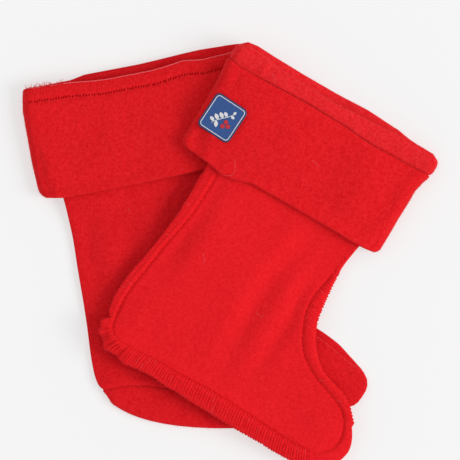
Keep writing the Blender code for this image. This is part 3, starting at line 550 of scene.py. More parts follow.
def sheet(name, node, xy, z, weights, material, wall=FLEECE, up=True, folded=False,
          closed=False):
    """A piece of fleece in a node's place: a bmesh grid moved to places and heights.

    A Solidify of varying weight gives the wall. closed joins the last column to the
    first, for a band. up says which way the seen face looks; that of a folded sheet
    looks away from its middle.
    """
    points = np.dstack([xy, z])
    rows, columns = z.shape
    bm = bmesh.new()
    bmesh.ops.create_grid(bm, x_segments=columns - 1, y_segments=rows - 1, size=1.0)
    layer = bm.verts.layers.deform.verify()
    for v in bm.verts:
        i = round((v.co.x + 1) / 2 * (columns - 1))
        j = round((v.co.y + 1) / 2 * (rows - 1))
        v.co = points[j, i] * MM
        v[layer][0] = float(weights[j, i])
    if closed:
        bmesh.ops.remove_doubles(bm, verts=bm.verts, dist=1e-6)
    bm.normal_update()
    if folded:
        middle = sum((v.co for v in bm.verts), Vector()) / len(bm.verts)
        facing = sum(f.normal.z * (f.calc_center_median().z - middle.z)
                     * f.calc_area() for f in bm.faces)
    else:
        facing = sum(f.normal.z * f.calc_area() for f in bm.faces) * (1 if up else -1)
    if facing < 0:
        bmesh.ops.reverse_faces(bm, faces=bm.faces)
    for face in bm.faces:
        face.smooth = True
    piece = mesh_object(name, bm, material)
    piece.vertex_groups.new(name="wall")
    if wall:
        thick = piece.modifiers.new("Wall", "SOLIDIFY")
        thick.thickness = wall * MM
        thick.offset = -1.0
        thick.use_even_offset = False
        thick.vertex_group = "wall"
    print(f"{name}: {rows} x {columns} points")
    return dress(piece, node)


# %% [markdown]
# ## The fleece material
# Red polyester fleece scatters light from thousands of fine fibres: very rough, with
# a soft sheen at grazing angles. The tuft colour follows the same noise as the bump,
# so the hollows between tufts are painted darker as shade and the tips painted lighter
# and pinker as sheen. Noise on Object coordinates keeps the grain at one real size
# on every piece.


# %% Materials
def new_material(name, settings):
    """A material with its shader's inputs set; gives its node tree and shader too."""
    material = bpy.data.materials.new(name)
    material.use_nodes = True
    shader = material.node_tree.nodes["Principled BSDF"]
    for key, value in settings.items():
        shader.inputs[key].default_value = value
    return material, material.node_tree, shader


def add_node(tree, kind, settings, links, **options):
    """A shader node of a kind, its options and inputs set and then its links made."""
    node = tree.nodes.new("ShaderNode" + kind)
    for key, value in options.items():
        setattr(node, key, value)
    for key, value in settings.items():
        node.inputs[key].default_value = value
    for key, source in links.items():
        tree.links.new(source, node.inputs[key])
    return node.outputs


def grain_noise(tree, scale, detail=2.0, rough=0.5):
    """Noise of one real grain size, the same on every piece."""
    place = add_node(tree, "TexCoord", {}, {})["Object"]
    return add_node(tree, "TexNoise", {"Scale": scale, "Detail": detail, "Roughness": rough},
                    {"Vector": place})["Fac"]


def two_colours(tree, source, low, high, start=0.0, end=1.0):
    """A blend from one colour to another as the source goes from start to end."""
    output = add_node(tree, "ValToRGB", {}, {0: source})[0]
    for element, place, colour in zip(output.node.color_ramp.elements, (start, end),
                                      (low, high)):
        element.position = place
        element.color = (*colour, 1)
    return output


def fleece(name, colour, tip, bump, grain=1.0):
    """Brushed fleece: colour between the tufts, darkened there as painted shade, and a lighter,
    pinker tip on them as painted sheen; grain scales both.
    """
    material, tree, shader = new_material(name, {
        "Roughness": 0.95, "Specular IOR Level": 0.04, "Sheen Weight": 0.10,
        "Sheen Roughness": 0.5, "Sheen Tint": (1.0, 0.34, 0.34, 1.0)})
    fine = grain_noise(tree, 1150.0 * grain, rough=0.6)
    tuft = grain_noise(tree, 560.0 * grain)
    slow = grain_noise(tree, 38.0, detail=3.0)
    share = add_node(tree, "Math", {1: 0.5}, {0: tuft}, operation="MULTIPLY")[0]
    height = add_node(tree, "Math", {1: 0.5}, {0: fine, 2: share},
                      operation="MULTIPLY_ADD")[0]
    # Painted shade and sheen: the pile's colour runs with the bump's height, darker in the
    # hollows, lighter and pinker on the tips.
    pile = two_colours(tree, height, [c * 0.90 for c in colour], tip, 0.34, 0.66)
    shade = two_colours(tree, slow, (0.955, 0.93, 0.93), (1, 1, 1), 0.35, 0.65)
    washed = add_node(tree, "Mix", {"Factor": 1.0}, {"A": pile, "B": shade},
                      data_type="RGBA", blend_type="MULTIPLY")["Result"]
    relief = add_node(tree, "Bump", {"Strength": bump, "Distance": 0.0005},
                      {"Height": height})[0]
    tree.links.new(washed, shader.inputs["Base Color"])
    tree.links.new(relief, shader.inputs["Normal"])
    return material


def plain_material(name, colour, roughness, sheen, specular):
    """One colour with a fine grain in it, for thread and for the moulded badge."""
    material, tree, shader = new_material(name, {
        "Roughness": roughness, "Sheen Weight": sheen, "Specular IOR Level": specular})
    grain = two_colours(tree, grain_noise(tree, 900.0), [c * 0.86 for c in colour],
                        [min(1, c * 1.12) for c in colour])
    tree.links.new(grain, shader.inputs["Base Color"])
    return material


BADGED_RED = fleece("badged_leg_fleece", (0.785, 0.008, 0.013), (0.84, 0.017, 0.023), 0.35)
CUFF_RED = fleece("cuff_fleece", (0.715, 0.006, 0.010), (0.80, 0.017, 0.022), 0.65, 0.85)
# Painted light: the rolled band's fleece is a lighter copy of the cuff fleece with pinker tips,
# so that the band looks brighter than the cuff.
LIT_BAND_RED = fleece("band_fleece_painted_lighter", (0.75, 0.009, 0.014), (0.84, 0.028, 0.034), 0.8, 0.85)
PLAIN_RED = fleece("plain_leg_fleece", (0.70, 0.006, 0.011), (0.79, 0.016, 0.022), 0.6)
# Painted sheen: the rim fibres and the front-edge stitches are a lighter, pinker red than the
# fleece, painting the pale rim of light on the cloth.
PINK_SHEEN_FIBRE = plain_material("loose_fibres_painted_sheen", (0.85, 0.085, 0.10), 0.9, 0.1, 0.05)
PALE_THREAD = plain_material("pale_thread", (0.80, 0.16, 0.18), 0.8, 0.2, 0.1)
# Painted shade: dark strands at the plain mouth stand in for the shade inside the needle holes.
HOLE_SHADE_THREAD = plain_material("painted_hole_shade", (0.30, 0.002, 0.004), 0.9, 0.0, 0.0)
# Painted shade: the groove stitches are real, and their dark red stands for the shade in the
# groove.
GROOVE_SHADE_THREAD = plain_material("shaded_thread", (0.55, 0.004, 0.008), 0.9, 0.0, 0.0)


# %% Thread and fibres
def strands(name, paths, thick, material, sides=0, ends=1.0):
    """Thin round strands through lists of points, as one piece; ends taper by ends."""
    curve = bpy.data.curves.new(name, "CURVE")
    curve.dimensions = "3D"
    curve.bevel_depth = thick * MM
    curve.bevel_resolution = sides
    curve.use_fill_caps = True
    for path in paths:
        spline = curve.splines.new("POLY")
        spline.points.add(len(path) - 1)
        for k, point in enumerate(path):
            spline.points[k].co = (*(np.asarray(point) * MM), 1.0)
            spline.points[k].radius = ends if k in (0, len(path) - 1) else 1.0
        spline.use_smooth = True
    curve.materials.append(material)
    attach(add_object(name, curve), "root")
    print(f"{name}: {len(paths)} strands")


# %% [markdown]
# ## The plain liner underneath
# Its panels turn inward at their edges, where the seam is on the inside, so each
# edge is a soft round fold. The sole wraps the outline from the heel towards the toe,
# half of it on each face, and slips in between the panels at both ends.

# %% Plain side panels
def inset(left, right, amount):
    """Seam lines a set width inside two sides, the toe's corners on their bisectors."""
    ways_left, ways_right = outward(left), outward(right[::-1])[::-1]
    toe = outward(np.array([left[-1], right[-1]]))[0]
    for ways in (ways_left, ways_right):
        corner = ways[-1] + toe
        ways[-1] = corner / (corner @ ways[-1])
    return left - ways_left * amount, right - ways_right * amount

plain_seams = inset(PLAIN_SECTIONS[:, 0:2], PLAIN_SECTIONS[:, 2:4], SEAM_IN)
plain_rows = fill_in(np.hstack([PLAIN_SECTIONS, *plain_seams]), slice(0, 2), slice(2, 4), 1.2)
plain = Layout(PLAIN_LIE, None, (plain_rows[:, 0:2], plain_rows[:, 10:12],
                                 plain_rows[:, 12:14], plain_rows[:, 2:4]),
               plain_rows[:, 4:7].T, PLAIN_BOW, toe_open=0.3, across=1.3,
               toe_line=np.array(PLAIN_TOE))
print("plain layout:", plain.flat.shape)


def mouth_shift(flat, table, depth=40.0):
    """Bring the first rows of a panel to the mouth line in a table."""
    flat = flat.copy()
    near = unit(1 - flat[..., 1] / depth)
    flat[..., 1] += near * (table_value(table, flat[..., 0]) + 0.6)
    return flat


def stop_short(layout, bare):
    """Pull a panel back from the front edge by the given amount per row."""
    way = layout.flat[:, -1] - layout.flat[:, 0]
    way[layout.rows:] = way[layout.rows - 1]
    way /= np.linalg.norm(way, axis=1)[:, None]
    s = rise(np.arange(layout.flat.shape[1]), STRIP, layout.middle)
    amount = np.pad(bare, (0, STRIP), mode="edge")
    return layout.flat - way[:, None] * (amount[:, None] * s ** 1.4)[..., None]


plain_low_flat = mouth_shift(plain.flat, PLAIN_CUFF["top_lower"])
plain_up_flat = mouth_shift(stop_short(plain, plain_rows[:, 7]), PLAIN_CUFF["top_upper"])
PLAIN_LEG_FOLDS = (
    (((22, 84), (19, 118), (24, 150)), -0.7, 7.0),
    (((34, 92), (30, 130)), 0.6, 8.0),
    (((48, 80), (52, 120), (44, 160)), -1.0, 9.0),
    (((16, 168), (30, 184), (52, 192)), -0.6, 7.0),
    (((60, 150), (66, 190)), 0.6, 9.0),
    (((80, 84), (84, 140)), -1.0, 8.0),
    (((100, 170), (120, 196), (136, 212)), -0.9, 8.0),
)
PLAIN_UNDER_FOLDS = (
    (((30, 96), (42, 120), (44, 150)), 0.9, 6.0),
    (((92, 88), (84, 118), (88, 140)), 0.7, 8.0),
    (((60, 148), (74, 176), (98, 194)), 1.0, 5.0),
    (((24, 176), (46, 190)), 0.6, 7.0),
    (((118, 176), (140, 200)), 0.8, 6.0),
)
cut = cut_away(plain.part)
inside = unit(-plain.out / 6)
xy, low, _ = plain.heights(plain_low_flat)
low += cut + inside * creases(plain_low_flat, PLAIN_UNDER_FOLDS)
plain_down = sheet("plain_under_panel", "plain_side_down", xy, low, 1 - cut / FLEECE,
                   PLAIN_RED, up=False)
xy, _, plain_under = plain.heights(plain_up_flat)
free = inside * rise(plain_up_flat[..., 1], 76, 8)
top = plain_under + FLEECE - cut + free * creases(plain_up_flat, PLAIN_LEG_FOLDS)
top += tufts(xy, 11) * (0.4 + 0.6 * (1 - plain.part))
plain_up = sheet("plain_upper_panel", "plain_side_up", xy, top, 1 - cut / FLEECE,
                 PLAIN_RED)

# %% Plain sole, folded round the outline from the heel to the toe
ROUND, LEAF = 10, 14        # points round the fold and across each half


def wrapped_sole():
    """Places, heights and walls of the sole: its half below, the fold, its upper half."""
    heel = nearest_row(plain_rows, PLAIN_SECTIONS[PLAIN_HEEL])
    rows = slice(heel, plain.rows)
    low_edge, up_edge = plain_low_flat[rows, 0], plain_up_flat[rows, 0]
    away = outward(soften(low_edge, 12))
    low_edge, up_edge = low_edge + away * HAIR, up_edge + away * HAIR
    tops = plain_under[rows, 0] + FLEECE
    fold = soften(plain_rows[rows, 8:10], 40)
    middle = (low_edge + up_edge) / 2
    along = run_of(fold)
    to_go = along[-1] - along
    end_ease = np.sqrt(np.clip(np.minimum(along / 3.0, to_go / 9.0), 0.06, 1))
    fold = middle + (fold - middle) * end_ease[:, None]
    reach = np.linalg.norm(fold - middle, axis=1)
    inward = (middle - fold) / reach[:, None]
    thin = np.clip(reach / (2.2 * FLEECE), 0.12, 1)     # a narrow fold has a thinner wall
    half = tops / 2
    turn_in = np.minimum(2.6, reach * 0.45)
    corner = fold + inward * turn_in[:, None]
    flats, heights, walls = [], [], []
    for k in range(2 * LEAF + ROUND + 1):
        if LEAF <= k <= LEAF + ROUND:
            angle = math.pi * (k - LEAF) / ROUND
            flats.append(fold + inward * (turn_in * (1 - math.sin(angle)))[:, None])
            heights.append(half - half * math.cos(angle))
            walls.append(thin)
            continue
        lower = k < LEAF
        edge = low_edge if lower else up_edge
        f = (k / LEAF if lower else (2 * LEAF + ROUND - k) / LEAF) ** 1.3
        dip = 0.8 * bell(f * np.linalg.norm(corner - edge, axis=1), 1.2)
        flats.append(edge + (corner - edge) * f)
        heights.append(dip if lower else tops - dip)
        walls.append(thin * (1 - dip / FLEECE))
    xy = to_surface(PLAIN_LIE, np.stack(flats, axis=1))
    # At both ends the sole slips in between the panels.
    tuck = smooth(unit(np.minimum(along, to_go) / 7.0))
    z = half[:, None] + (np.stack(heights, axis=1) - half[:, None]) * (0.5 + 0.5 * tuck)[:, None]
    z += tufts(xy, 17) * rise(z, 1.5, 2)
    return xy, z, np.stack(walls, axis=1)


plain_sole = sheet("plain_wrapped_sole", "plain_sole", *wrapped_sole(), PLAIN_RED,
                   folded=True)

# %% [markdown]
# ## Cuffs
# A cuff is a flattened tube of thicker fleece. Round the tube the grid follows the
# lower wall, the front fold, the upper wall and the back fold; down the tube it
# follows the depth, and the wall thins towards both edges so they look soft.


# %% Cuff bands
def loop_stations(flat_count, turn_count):
    """Places round a flattened band; the last one meets the first."""
    low = [("low", t) for t in np.linspace(0, 1, flat_count)]
    up = [("up", t) for t in np.linspace(1, 0, flat_count)]
    angles = [(k + 1) / (turn_count + 1) for k in range(turn_count)]
    return (low + [("front", a) for a in angles] + up + [("back", a) for a in angles]
            + [("low", 0.0)])


def loop_place(kind, t, u0, u1, radius_back, radius_front):
    """One place on the flattened loop: u, height above its lowest line, side, upness."""
    if kind in ("low", "up"):
        up = float(kind == "up")
        return u0 + (u1 - u0) * t, 2 * radius_back * up, (0.0, 2 * up - 1), up
    sign = 1.0 if kind == "front" else -1.0
    angle = sign * (-math.pi / 2 + math.pi * t)
    radius = radius_front if kind == "front" else radius_back
    side = (sign * math.cos(angle), math.sin(angle))
    up = t if kind == "front" else 1 - t
    return ((u1 if kind == "front" else u0) + radius * side[0],
            radius + radius * side[1], side, up)


CUFF_TOP, CUFF_DEPTH = 3.0, 69.0        # v where a cuff's side tables start, and their run
CUFF_PARTS = (0, 0.006, 0.02, 0.05, 0.955, 0.98, 0.99, 1.0)
CUFF_THINNED = (0.35, 0.7, 0.9, 1.0, 1.0, 0.85, 0.66, 0.2)


def cuff_room(u, leg_back, leg_front):
    """Height inside a cuff: full over the leg, less beside it."""
    gap = min(u - (leg_back - SIDE_EASE - 1.5), (leg_front + SIDE_EASE + 1.5) - u)
    return CUFF_ROOM_SIDE + (CUFF_ROOM - CUFF_ROOM_SIDE) * smooth(unit(gap / SIDE_EASE))


def cuff_band(name, node, lie, ground, sizes, leg, folds, under_folds, seed, band):
    """A cuff: the outer face of the tube; a Solidify gives the wall inside it.

    leg is the back of the leg as v and u, then its front as v and u.
    """
    stations = loop_stations(130, 12)
    half = CUFF_WALL / 2
    part = np.unique(np.concatenate([np.linspace(0, 1, 70),
                                     [0.003, 0.007, 0.98, 0.99, 0.996]]))
    thick = np.interp(part, CUFF_PARTS, CUFF_THINNED)
    u, z, upness, inland = np.zeros((4, len(part), len(stations)))
    for r, (p, share) in enumerate(zip(part, thick)):
        v = CUFF_TOP + CUFF_DEPTH * p
        turn_in = 2.2 * max(0.0, (p - 0.93) / 0.07) ** 2 + 0.8 * max(0.0, 1 - p / 0.012)
        back = float(table_value(sizes["back"], v)) + turn_in
        front = float(table_value(sizes["front"], v)) - turn_in
        sides = float(np.interp(v, *leg[:2])), float(np.interp(v, *leg[2:]))
        radii = [cuff_room(place, *sides) / 2 + half for place in (back + 6.0, front - 6.0)]
        u0, u1 = back + radii[0] + half, front - radii[1] - half
        for k, (kind, t) in enumerate(stations):
            place, height, side, up = loop_place(kind, t, u0, u1, *radii)
            if kind == "up":
                height = CUFF_WALL + cuff_room(place, *sides)
            u[r, k] = place + side[0] * half * share
            z[r, k] = half + height + side[1] * half * share
            upness[r, k] = up
            inland[r, k] = min(place - back, 0.6 * (front - place))
    top, free = (table_value(sizes[line + "_lower"], u) * (1 - upness)
                 + table_value(sizes[line + "_upper"], u) * upness
                 for line in ("top", "free"))
    flat = np.dstack([u, top + (free - top) * part[:, None]])
    xy = to_surface(lie, flat)
    inner = np.clip(np.minimum(part, 1 - part) / 0.06, 0.25, 1)[:, None]
    z += height_at(ground, xy)
    if ground is not None:
        z += upness * upper_rise(xy, inland)
    pile = tufts(xy, seed, 2.4, 0.2)
    z += unit(upness * 2 - 1) * inner * (creases(flat, folds) + pile)
    z += unit(1 - upness * 2) * inner * np.maximum(
        creases(flat, under_folds) + 0.5 * pile + 0.2, 0)
    z += upness * (band(u, flat[..., 1] - top) + FLARE * bell(free - flat[..., 1], 5.0))
    z[:, -1], xy[:, -1] = z[:, 0], xy[:, 0]
    weights = np.repeat(thick[:, None], len(stations), axis=1)
    return sheet(name, node, xy, z, weights, CUFF_RED, CUFF_WALL, folded=True, closed=True)


def mouth_seam(u, down):
    """The plain cuff's mouth: a swollen band 8 mm deep above a pinched line."""
    return 0.35 * bell(down - 5.2, 2.6) - 1.2 * bell(down - 9.4, 1.5)


def roll_seam(u, down):
    """Under the roll the cuff is pinched, deeply in some places and hardly in others."""
    pull = np.interp(u, (0, 10, 26, 36, 60, 84, 100, 118, 140, 150),
                     (0.2, 1.0, 0.9, -0.1, -0.2, 0.4, 0.1, 0.7, 0.9, 0.4))
    return -pull * bell(down, 1.5)


PLAIN_CUFF_FOLDS = (
    (((8, 30), (30, 38), (52, 34)), -0.6, 9.0),
    (((20, 60), (48, 54)), 0.6, 9.0),
    (((60, 20), (66, 48), (62, 68)), -0.8, 10.0),
    (((84, 26), (90, 60)), 0.7, 10.0),
    (((100, 18), (106, 44)), -0.6, 8.0),
)
BADGED_CUFF_FOLDS = (
    (((10.3, 6), (11.0, 16)), -0.8, 2.4),
    (((40, 8), (46, 26), (44, 44)), -0.6, 8.0),
    (((58, 14), (62, 40), (56, 60)), 0.6, 9.0),
    (((78, 20), (92, 40), (96, 58)), -0.6, 9.0),
    (((112, 10), (118, 34), (114, 56)), 0.6, 9.0),
    (((132, 12), (136, 40)), -0.8, 7.0),
    (((134, 4), (132, 34), (130, 62)), 2.4, 26.0),
    (((30, 69), (36, 58)), 0.7, 6.0),
)
# Under the cuffs the creases push the cloth up off what it lies on.
PLAIN_CUFF_UNDER = (
    (((18, 16), (34, 30), (40, 58)), 0.9, 6.0),
    (((70, 10), (64, 36)), 0.6, 8.0),
    (((96, 66), (108, 40), (112, 22)), 1.1, 5.0),
    (((126, 30), (134, 58)), 0.5, 7.0),
)
BADGED_CUFF_UNDER = (
    (((22, 12), (30, 40)), 0.8, 6.0),
    (((52, 60), (60, 34), (58, 20)), 1.0, 7.0),
    (((88, 14), (98, 50)), 0.6, 8.0),
    (((118, 58), (128, 36), (136, 16)), 0.9, 5.0),
)
plain_cuff = cuff_band("plain_turned_cuff", "plain_cuff", PLAIN_LIE, None, PLAIN_CUFF,
                       PLAIN_SECTIONS[:, (1, 0, 3, 2)].T, PLAIN_CUFF_FOLDS,
                       PLAIN_CUFF_UNDER, 23, mouth_seam)
badged_cuff = cuff_band("badged_turned_cuff", "badged_cuff", BADGED_LIE, draped,
                        BADGED_CUFF, BADGED_SECTIONS[:, (1, 0, 7, 6)].T,
                        BADGED_CUFF_FOLDS, BADGED_CUFF_UNDER, 29, roll_seam)

# %% [markdown]
# ## The badged liner on top
# Its seams are turned out: the two panels' edges are overlocked together into a flat
# ridge, pinched down along the seam line. The back and sole edges curl up a little
# off the liner below, which puts the dark soft line beside them.

# %% Badged side panels
def ridge_relief(out, long_seam, from_front):
    """A pinched groove, softer in front, and a full ridge halved by a line of stitches."""
    groove = -1.1 * bell(out + 0.2, 1.1) * (1 - 0.4 * bell(from_front, 6.0))
    halved = -0.55 * bell(out - 3.3, 0.6) * long_seam
    return groove + halved + 0.7 * unit(out / 2.0) * unit(1.6 - out / 9.0)


def round_spot(points, place, size):
    """1 at a place, falling off softly round it."""
    return np.exp(-np.sum((points - place) ** 2, axis=-1) / size)


badged_rows = fill_in(BADGED_SECTIONS, slice(0, 2), slice(6, 8), 0.95, 3.0)
badged = Layout(BADGED_LIE, draped, [badged_rows[:, k:k + 2] for k in (0, 2, 4, 6)],
                badged_rows[:, 8:11].T, BADGED_BOW, toe_open=0.0, across=1.15)
BADGED_LEG_FOLDS = (
    (((108, 46), (101, 79), (95.2, 108), (94.2, 137), (94.2, 164), (96, 192)), -2.6, 8.5),
    (((113, 84), (106, 112), (103.5, 137), (103.5, 164)), 0.5, 6.0),
    (((84, 84), (82, 130), (86, 168)), 0.5, 7.0),
    (((115.5, 96), (118.5, 126), (117, 150), (115, 172)), -2.0, 5.5),
    (((79.5, 62), (79, 88), (80.5, 115)), -0.7, 6.5),
    (((33.5, 64), (31.5, 92), (31.0, 122), (33.0, 146)), -1.0, 6.0),
    (((45.0, 62), (43.0, 92), (42.0, 120), (44.0, 142)), 0.9, 7.5),
    (((52, 96), (50, 140)), 0.4, 10.0),
    (((30, 168), (44, 178), (52, 192)), -0.5, 6.0),
    (((126, 166), (146, 178), (166, 184)), -0.4, 9.0),
    (((58, 69), (92, 69), (122, 70)), -0.9, 7.0),
)
BADGED_UNDER_FOLDS = (
    (((44, 84), (52, 118), (50, 140)), 0.8, 6.0),
    (((110, 90), (104, 124), (110, 150)), 1.1, 7.0),
    (((70, 130), (78, 164)), 0.6, 5.0),
    (((100, 176), (134, 186), (158, 182)), 0.9, 6.0),
)
badged_flat = mouth_shift(badged.flat, BADGED_CUFF["top_upper"])
u, v = badged_flat[..., 0], badged_flat[..., 1]
# The cut edge wanders in and out a little; round the heel it is bunched up.
bunched = bell(v - 200, 12) * bell(u - 24, 17)
notch = round_spot(badged_flat, (14.5, 185.8), 7.0)
lobe = round_spot(badged_flat, (13.0, 191.0), 9.0)
ruffle = (0.5 * noise(badged_flat, 9.0, 61) + 2.6 * noise(badged_flat, 4.2, 66) * bunched
          - 2.6 * notch + 2.8 * lobe)
on_back_strip = badged.part * (np.arange(badged_flat.shape[1]) < STRIP)
edge_way = np.zeros_like(badged_flat)
edge_way[:, :STRIP] = outward(soften(badged_flat[:, 0], 6))[:, None]
badged_flat = badged_flat + edge_way * (ruffle * on_back_strip)[..., None]
u, v = badged_flat[..., 0], badged_flat[..., 1]
xy, low, under = badged.heights(badged_flat)

# The edges curl up: most along the sole near the heel, little where nothing lies below.
curl = CURL * rise(v, 74, 26) * unit(1 - badged.from_back / 30) ** 2 * (1 - rise(u, 110, 40))
curl *= 0.75 + 0.65 * bell(u - 48, 40) * bell(v - 206, 12)
curl += 0.35 * noise(badged_flat, 7.0, 63) * on_back_strip
curl += 1.8 * (0.3 + noise(badged_flat, 5.2, 67)) * bunched * unit(1 + badged.out / 7)
curl *= np.clip(height_at(draped, xy) / 4, 0.25, 1)
curl += FRONT_CURL * rise(v, 70, 24) * unit(1 - badged.from_front / 28) ** 2
low, under = low + curl, under + curl

cut = cut_away(badged.part)
inside = unit(-badged.out / 8)
under_face = low + cut + inside * creases(badged_flat, BADGED_UNDER_FOLDS)
badged_down = sheet("badged_under_panel", "badged_side_down", xy, under_face,
                    1 - cut / FLEECE, BADGED_RED, up=False)
clear = np.where(badged.from_front < 4.0, rise(v, 86, 8), rise(v, 60, 10))
back_seam = (badged.from_back < 4.0) * (1 - rise(v, 184, 12))
relief = ridge_relief(badged.out, back_seam, badged.from_front) * clear
free = inside * rise(v, 62, 8)
top = under + FLEECE - cut + relief + free * creases(badged_flat, BADGED_LEG_FOLDS)
top += tufts(xy, 41, 2.2, 0.10) * (0.5 + 0.5 * (1 - badged.part))
top += upper_rise(xy, np.minimum(-badged.out, 0.6 * badged.from_front))
rough = noise(badged_flat, 1.2, 68) + noise(badged_flat, 2.4, 69)
top += 0.32 * rough * bunched * unit(badged.out / 2 + 0.5)
badged_up = sheet("badged_upper_panel", "badged_side_up", xy, top,
                  np.clip(1 + (relief - cut) / FLEECE, 0.2, 1), BADGED_RED)

# %% Badged sole, folded inward between the panels
heel = nearest_row(badged_rows, BADGED_SECTIONS[BADGED_HEEL])
deep = row_at(badged.from_back[heel], 24.0)
columns = [*range(0, STRIP, 2), *range(STRIP, deep, 2)]
sole_low, sole_high, places = (values[heel:badged.rows:2][:, columns] for values in
                               (low + FLEECE + SEAM, under - SEAM, xy))
tip = places[:, -1] * 1.3 - places[:, -2] * 0.3
flat = np.concatenate([places, tip[:, None], places[:, ::-1]], axis=1)
z = np.concatenate([sole_low, ((sole_low + sole_high) / 2)[:, -1:], sole_high[:, ::-1]],
                   axis=1)
badged_sole = sheet("badged_folded_sole", "badged_sole", flat, z, np.full(z.shape, 0.9),
                    BADGED_RED, SOLE_WALL, folded=True)


# %% [markdown]
# ## The rolled band
# The band at the badged liner's mouth is the same fleece turned over on itself: a
# soft flattened tube that runs right round the opening.


# %% Roll
def rolled_band():
    """A rounded section carried round the flattened loop of the mouth."""
    stations = loop_stations(150, 14)
    radius = ROLL_STEP / 2
    u0 = ROLL["back"] + radius + ROLL_HALF
    u1 = ROLL["front"] - radius - ROLL_HALF
    turns = np.linspace(0, 2 * math.pi, 41)
    around = np.sign(np.cos(turns)) * np.abs(np.cos(turns)) ** 0.8
    through = np.sign(np.sin(turns)) * np.abs(np.sin(turns)) ** 0.78
    points = np.zeros((len(turns), len(stations), 3))
    raised = np.zeros((len(turns), len(stations)))
    for k, (kind, t) in enumerate(stations):
        u, z, side, up = loop_place(kind, t, u0, u1, radius, radius)
        raised[:, k] = up
        top = float(table_value(ROLL["top_lower"], u) * (1 - up)
                    + table_value(ROLL["top_upper"], u) * up)
        seam = float(table_value(SEAM_LINE, u))
        shift = through * ROLL_HALF
        points[:, k, 0] = u + side[0] * shift
        points[:, k, 1] = (top + seam) / 2 + around * (seam - top) / 2
        points[:, k, 2] = ROLL_HALF + z + side[1] * shift
    flat = points[..., :2]
    xy = to_surface(BADGED_LIE, flat)
    z = points[..., 2] + height_at(draped, xy)
    z += raised * upper_rise(xy, np.minimum(flat[..., 0] - ROLL["back"],
                                            0.6 * (ROLL["front"] - flat[..., 0])))
    flank = unit(through * 1.4)[:, None]
    z += flank * (tufts(xy, 53, 2.4, 0.2) + creases(flat, ROLL_FOLDS))
    z[:, -1], xy[:, -1] = z[:, 0], xy[:, 0]
    return xy, np.maximum(z, 0.02)


ROLL_FOLDS = (
    (((21, -8), (23, 1)), 0.7, 3.0),
    (((27, -8), (26, 2)), -0.5, 2.5),
    (((44, -7), (46, 2)), -0.4, 4.0),
    (((70, -6), (73, 3)), 0.4, 5.0),
    (((101, -7), (99, 4)), -0.5, 4.0),
    (((126, -8), (129, 3)), 0.4, 5.0),
)
xy_roll, z_roll = rolled_band()
# The band's lighter fleece paints it brighter than the cuff: painted light.
badged_roll = sheet("badged_rolled_band", "badged_roll", xy_roll, z_roll,
                    np.ones(z_roll.shape), LIT_BAND_RED, 0, folded=True, closed=True)

# %% [markdown]
# ## Overlock stitches
# An overlocked edge is bound by loops of thread that cross it about every 2 mm and wrap
# round it to the other side. Each loop starts in the groove, rides over the ridge and
# goes round the cut edge. They lean, no two are quite alike, and round the bunched heel
# they are the most uneven.


# %% Loops round the ridges
def ridge_loops(columns, first, last, lean, tall, thick, seed, uneven):
    """Loops along one side of the badged liner between two rows of its grid."""
    chance = np.random.default_rng(seed)
    line = badged_flat[first:last, columns[len(columns) // 2]]
    run = run_of(line)
    spots = np.arange(0.5, run[-1] - 0.5, STITCH)
    spots = spots + chance.uniform(-0.8, 0.8, len(spots)) * uneven

    def over(face, spot, raised, order, slip, lift):
        places = []
        for column in order:
            f = columns.index(column) / (len(columns) - 1)
            row = np.interp(spot + slip * f, run, np.arange(first, last))
            a = min(int(row), badged.rows - 2)
            w = row - a
            place = xy[a, column] * (1 - w) + xy[a + 1, column] * w
            height = face[a, column] * (1 - w) + face[a + 1, column] * w
            bulge = lift * (1 - abs(2 * f - 1) ** 2.5) - 0.62 * thick
            places.append((*place, max(height + raised * bulge, thick + 0.02)))
        return places

    paths = []
    for spot in spots:
        slip = lean + chance.uniform(-uneven, uneven)
        lift = tall * chance.uniform(1 - uneven, 1 + uneven)
        above = over(top, spot, 1, columns, slip, lift)
        below = over(under_face, spot, -1, columns[::-1], slip, lift)
        edge = (np.array(above[-1]) + np.array(below[0])) / 2
        outside = (np.array(above[-1]) - np.array(above[-2]))[:2]
        edge[:2] -= outside / max(np.linalg.norm(outside), 1e-6) * 0.4
        paths.append(above + [tuple(edge)] + below)
    return paths


back_columns = [STRIP + 1, STRIP - 1, STRIP - 3, STRIP - 5, STRIP - 7, 0]
front_columns = [STRIP * 2 + badged.middle - c for c in back_columns]
last = badged.rows - 1
start = row_at(badged_rows[:, 1], 62)
bunch_start = row_at(badged_rows[:heel, 1], 184)
bunch_end = heel + row_at(badged_rows[heel:, 0], 35)
front_start = row_at(badged_rows[:, 7], 84)
# Name, columns, first and last row, lean, height, thickness, seed and unevenness.
OVERLOCKS = (
    ("back_overlock", back_columns, start, bunch_start, 1.3, 0.35, 0.46, 71, 0.3),
    ("heel_overlock", back_columns, bunch_start, bunch_end, 0.8, 0.7, 0.5, 72, 1.1),
    ("sole_overlock", back_columns, bunch_end, last, 0.6, 0.35, 0.72, 73, 0.3),
    ("front_overlock", front_columns, front_start, last, 1.6, 0.3, 0.66, 79, 0.3),
)
loops = {}
for name, columns, first, end, lean, tall, thick, seed, uneven in OVERLOCKS:
    loops[name] = ridge_loops(columns, first, end, lean, tall, thick, seed, uneven)
    strands(name, loops[name], thick, BADGED_RED, 1, 0.7)

# %% Needle stitches in the grooves, coloured dark as painted shade
def groove_stitches(column, first, last, pitch, seed):
    """Short sunk stitches along a seam line, a little uneven; their dark colour is painted shade
    of the groove.
    """
    chance = np.random.default_rng(seed)
    line = np.dstack([xy, top])[first:last, column]
    run = run_of(line[:, :2])
    paths = []
    for spot in np.arange(2.0, run[-1] - 3.0, pitch) + chance.uniform(-0.5, 0.5):
        length = chance.uniform(1.1, 1.9)
        ends = [[np.interp(spot + d, run, line[:, k]) for k in range(3)]
                for d in (0, length / 2, length)]
        paths.append([(x, y, z + 0.05) for x, y, z in ends])
    return paths


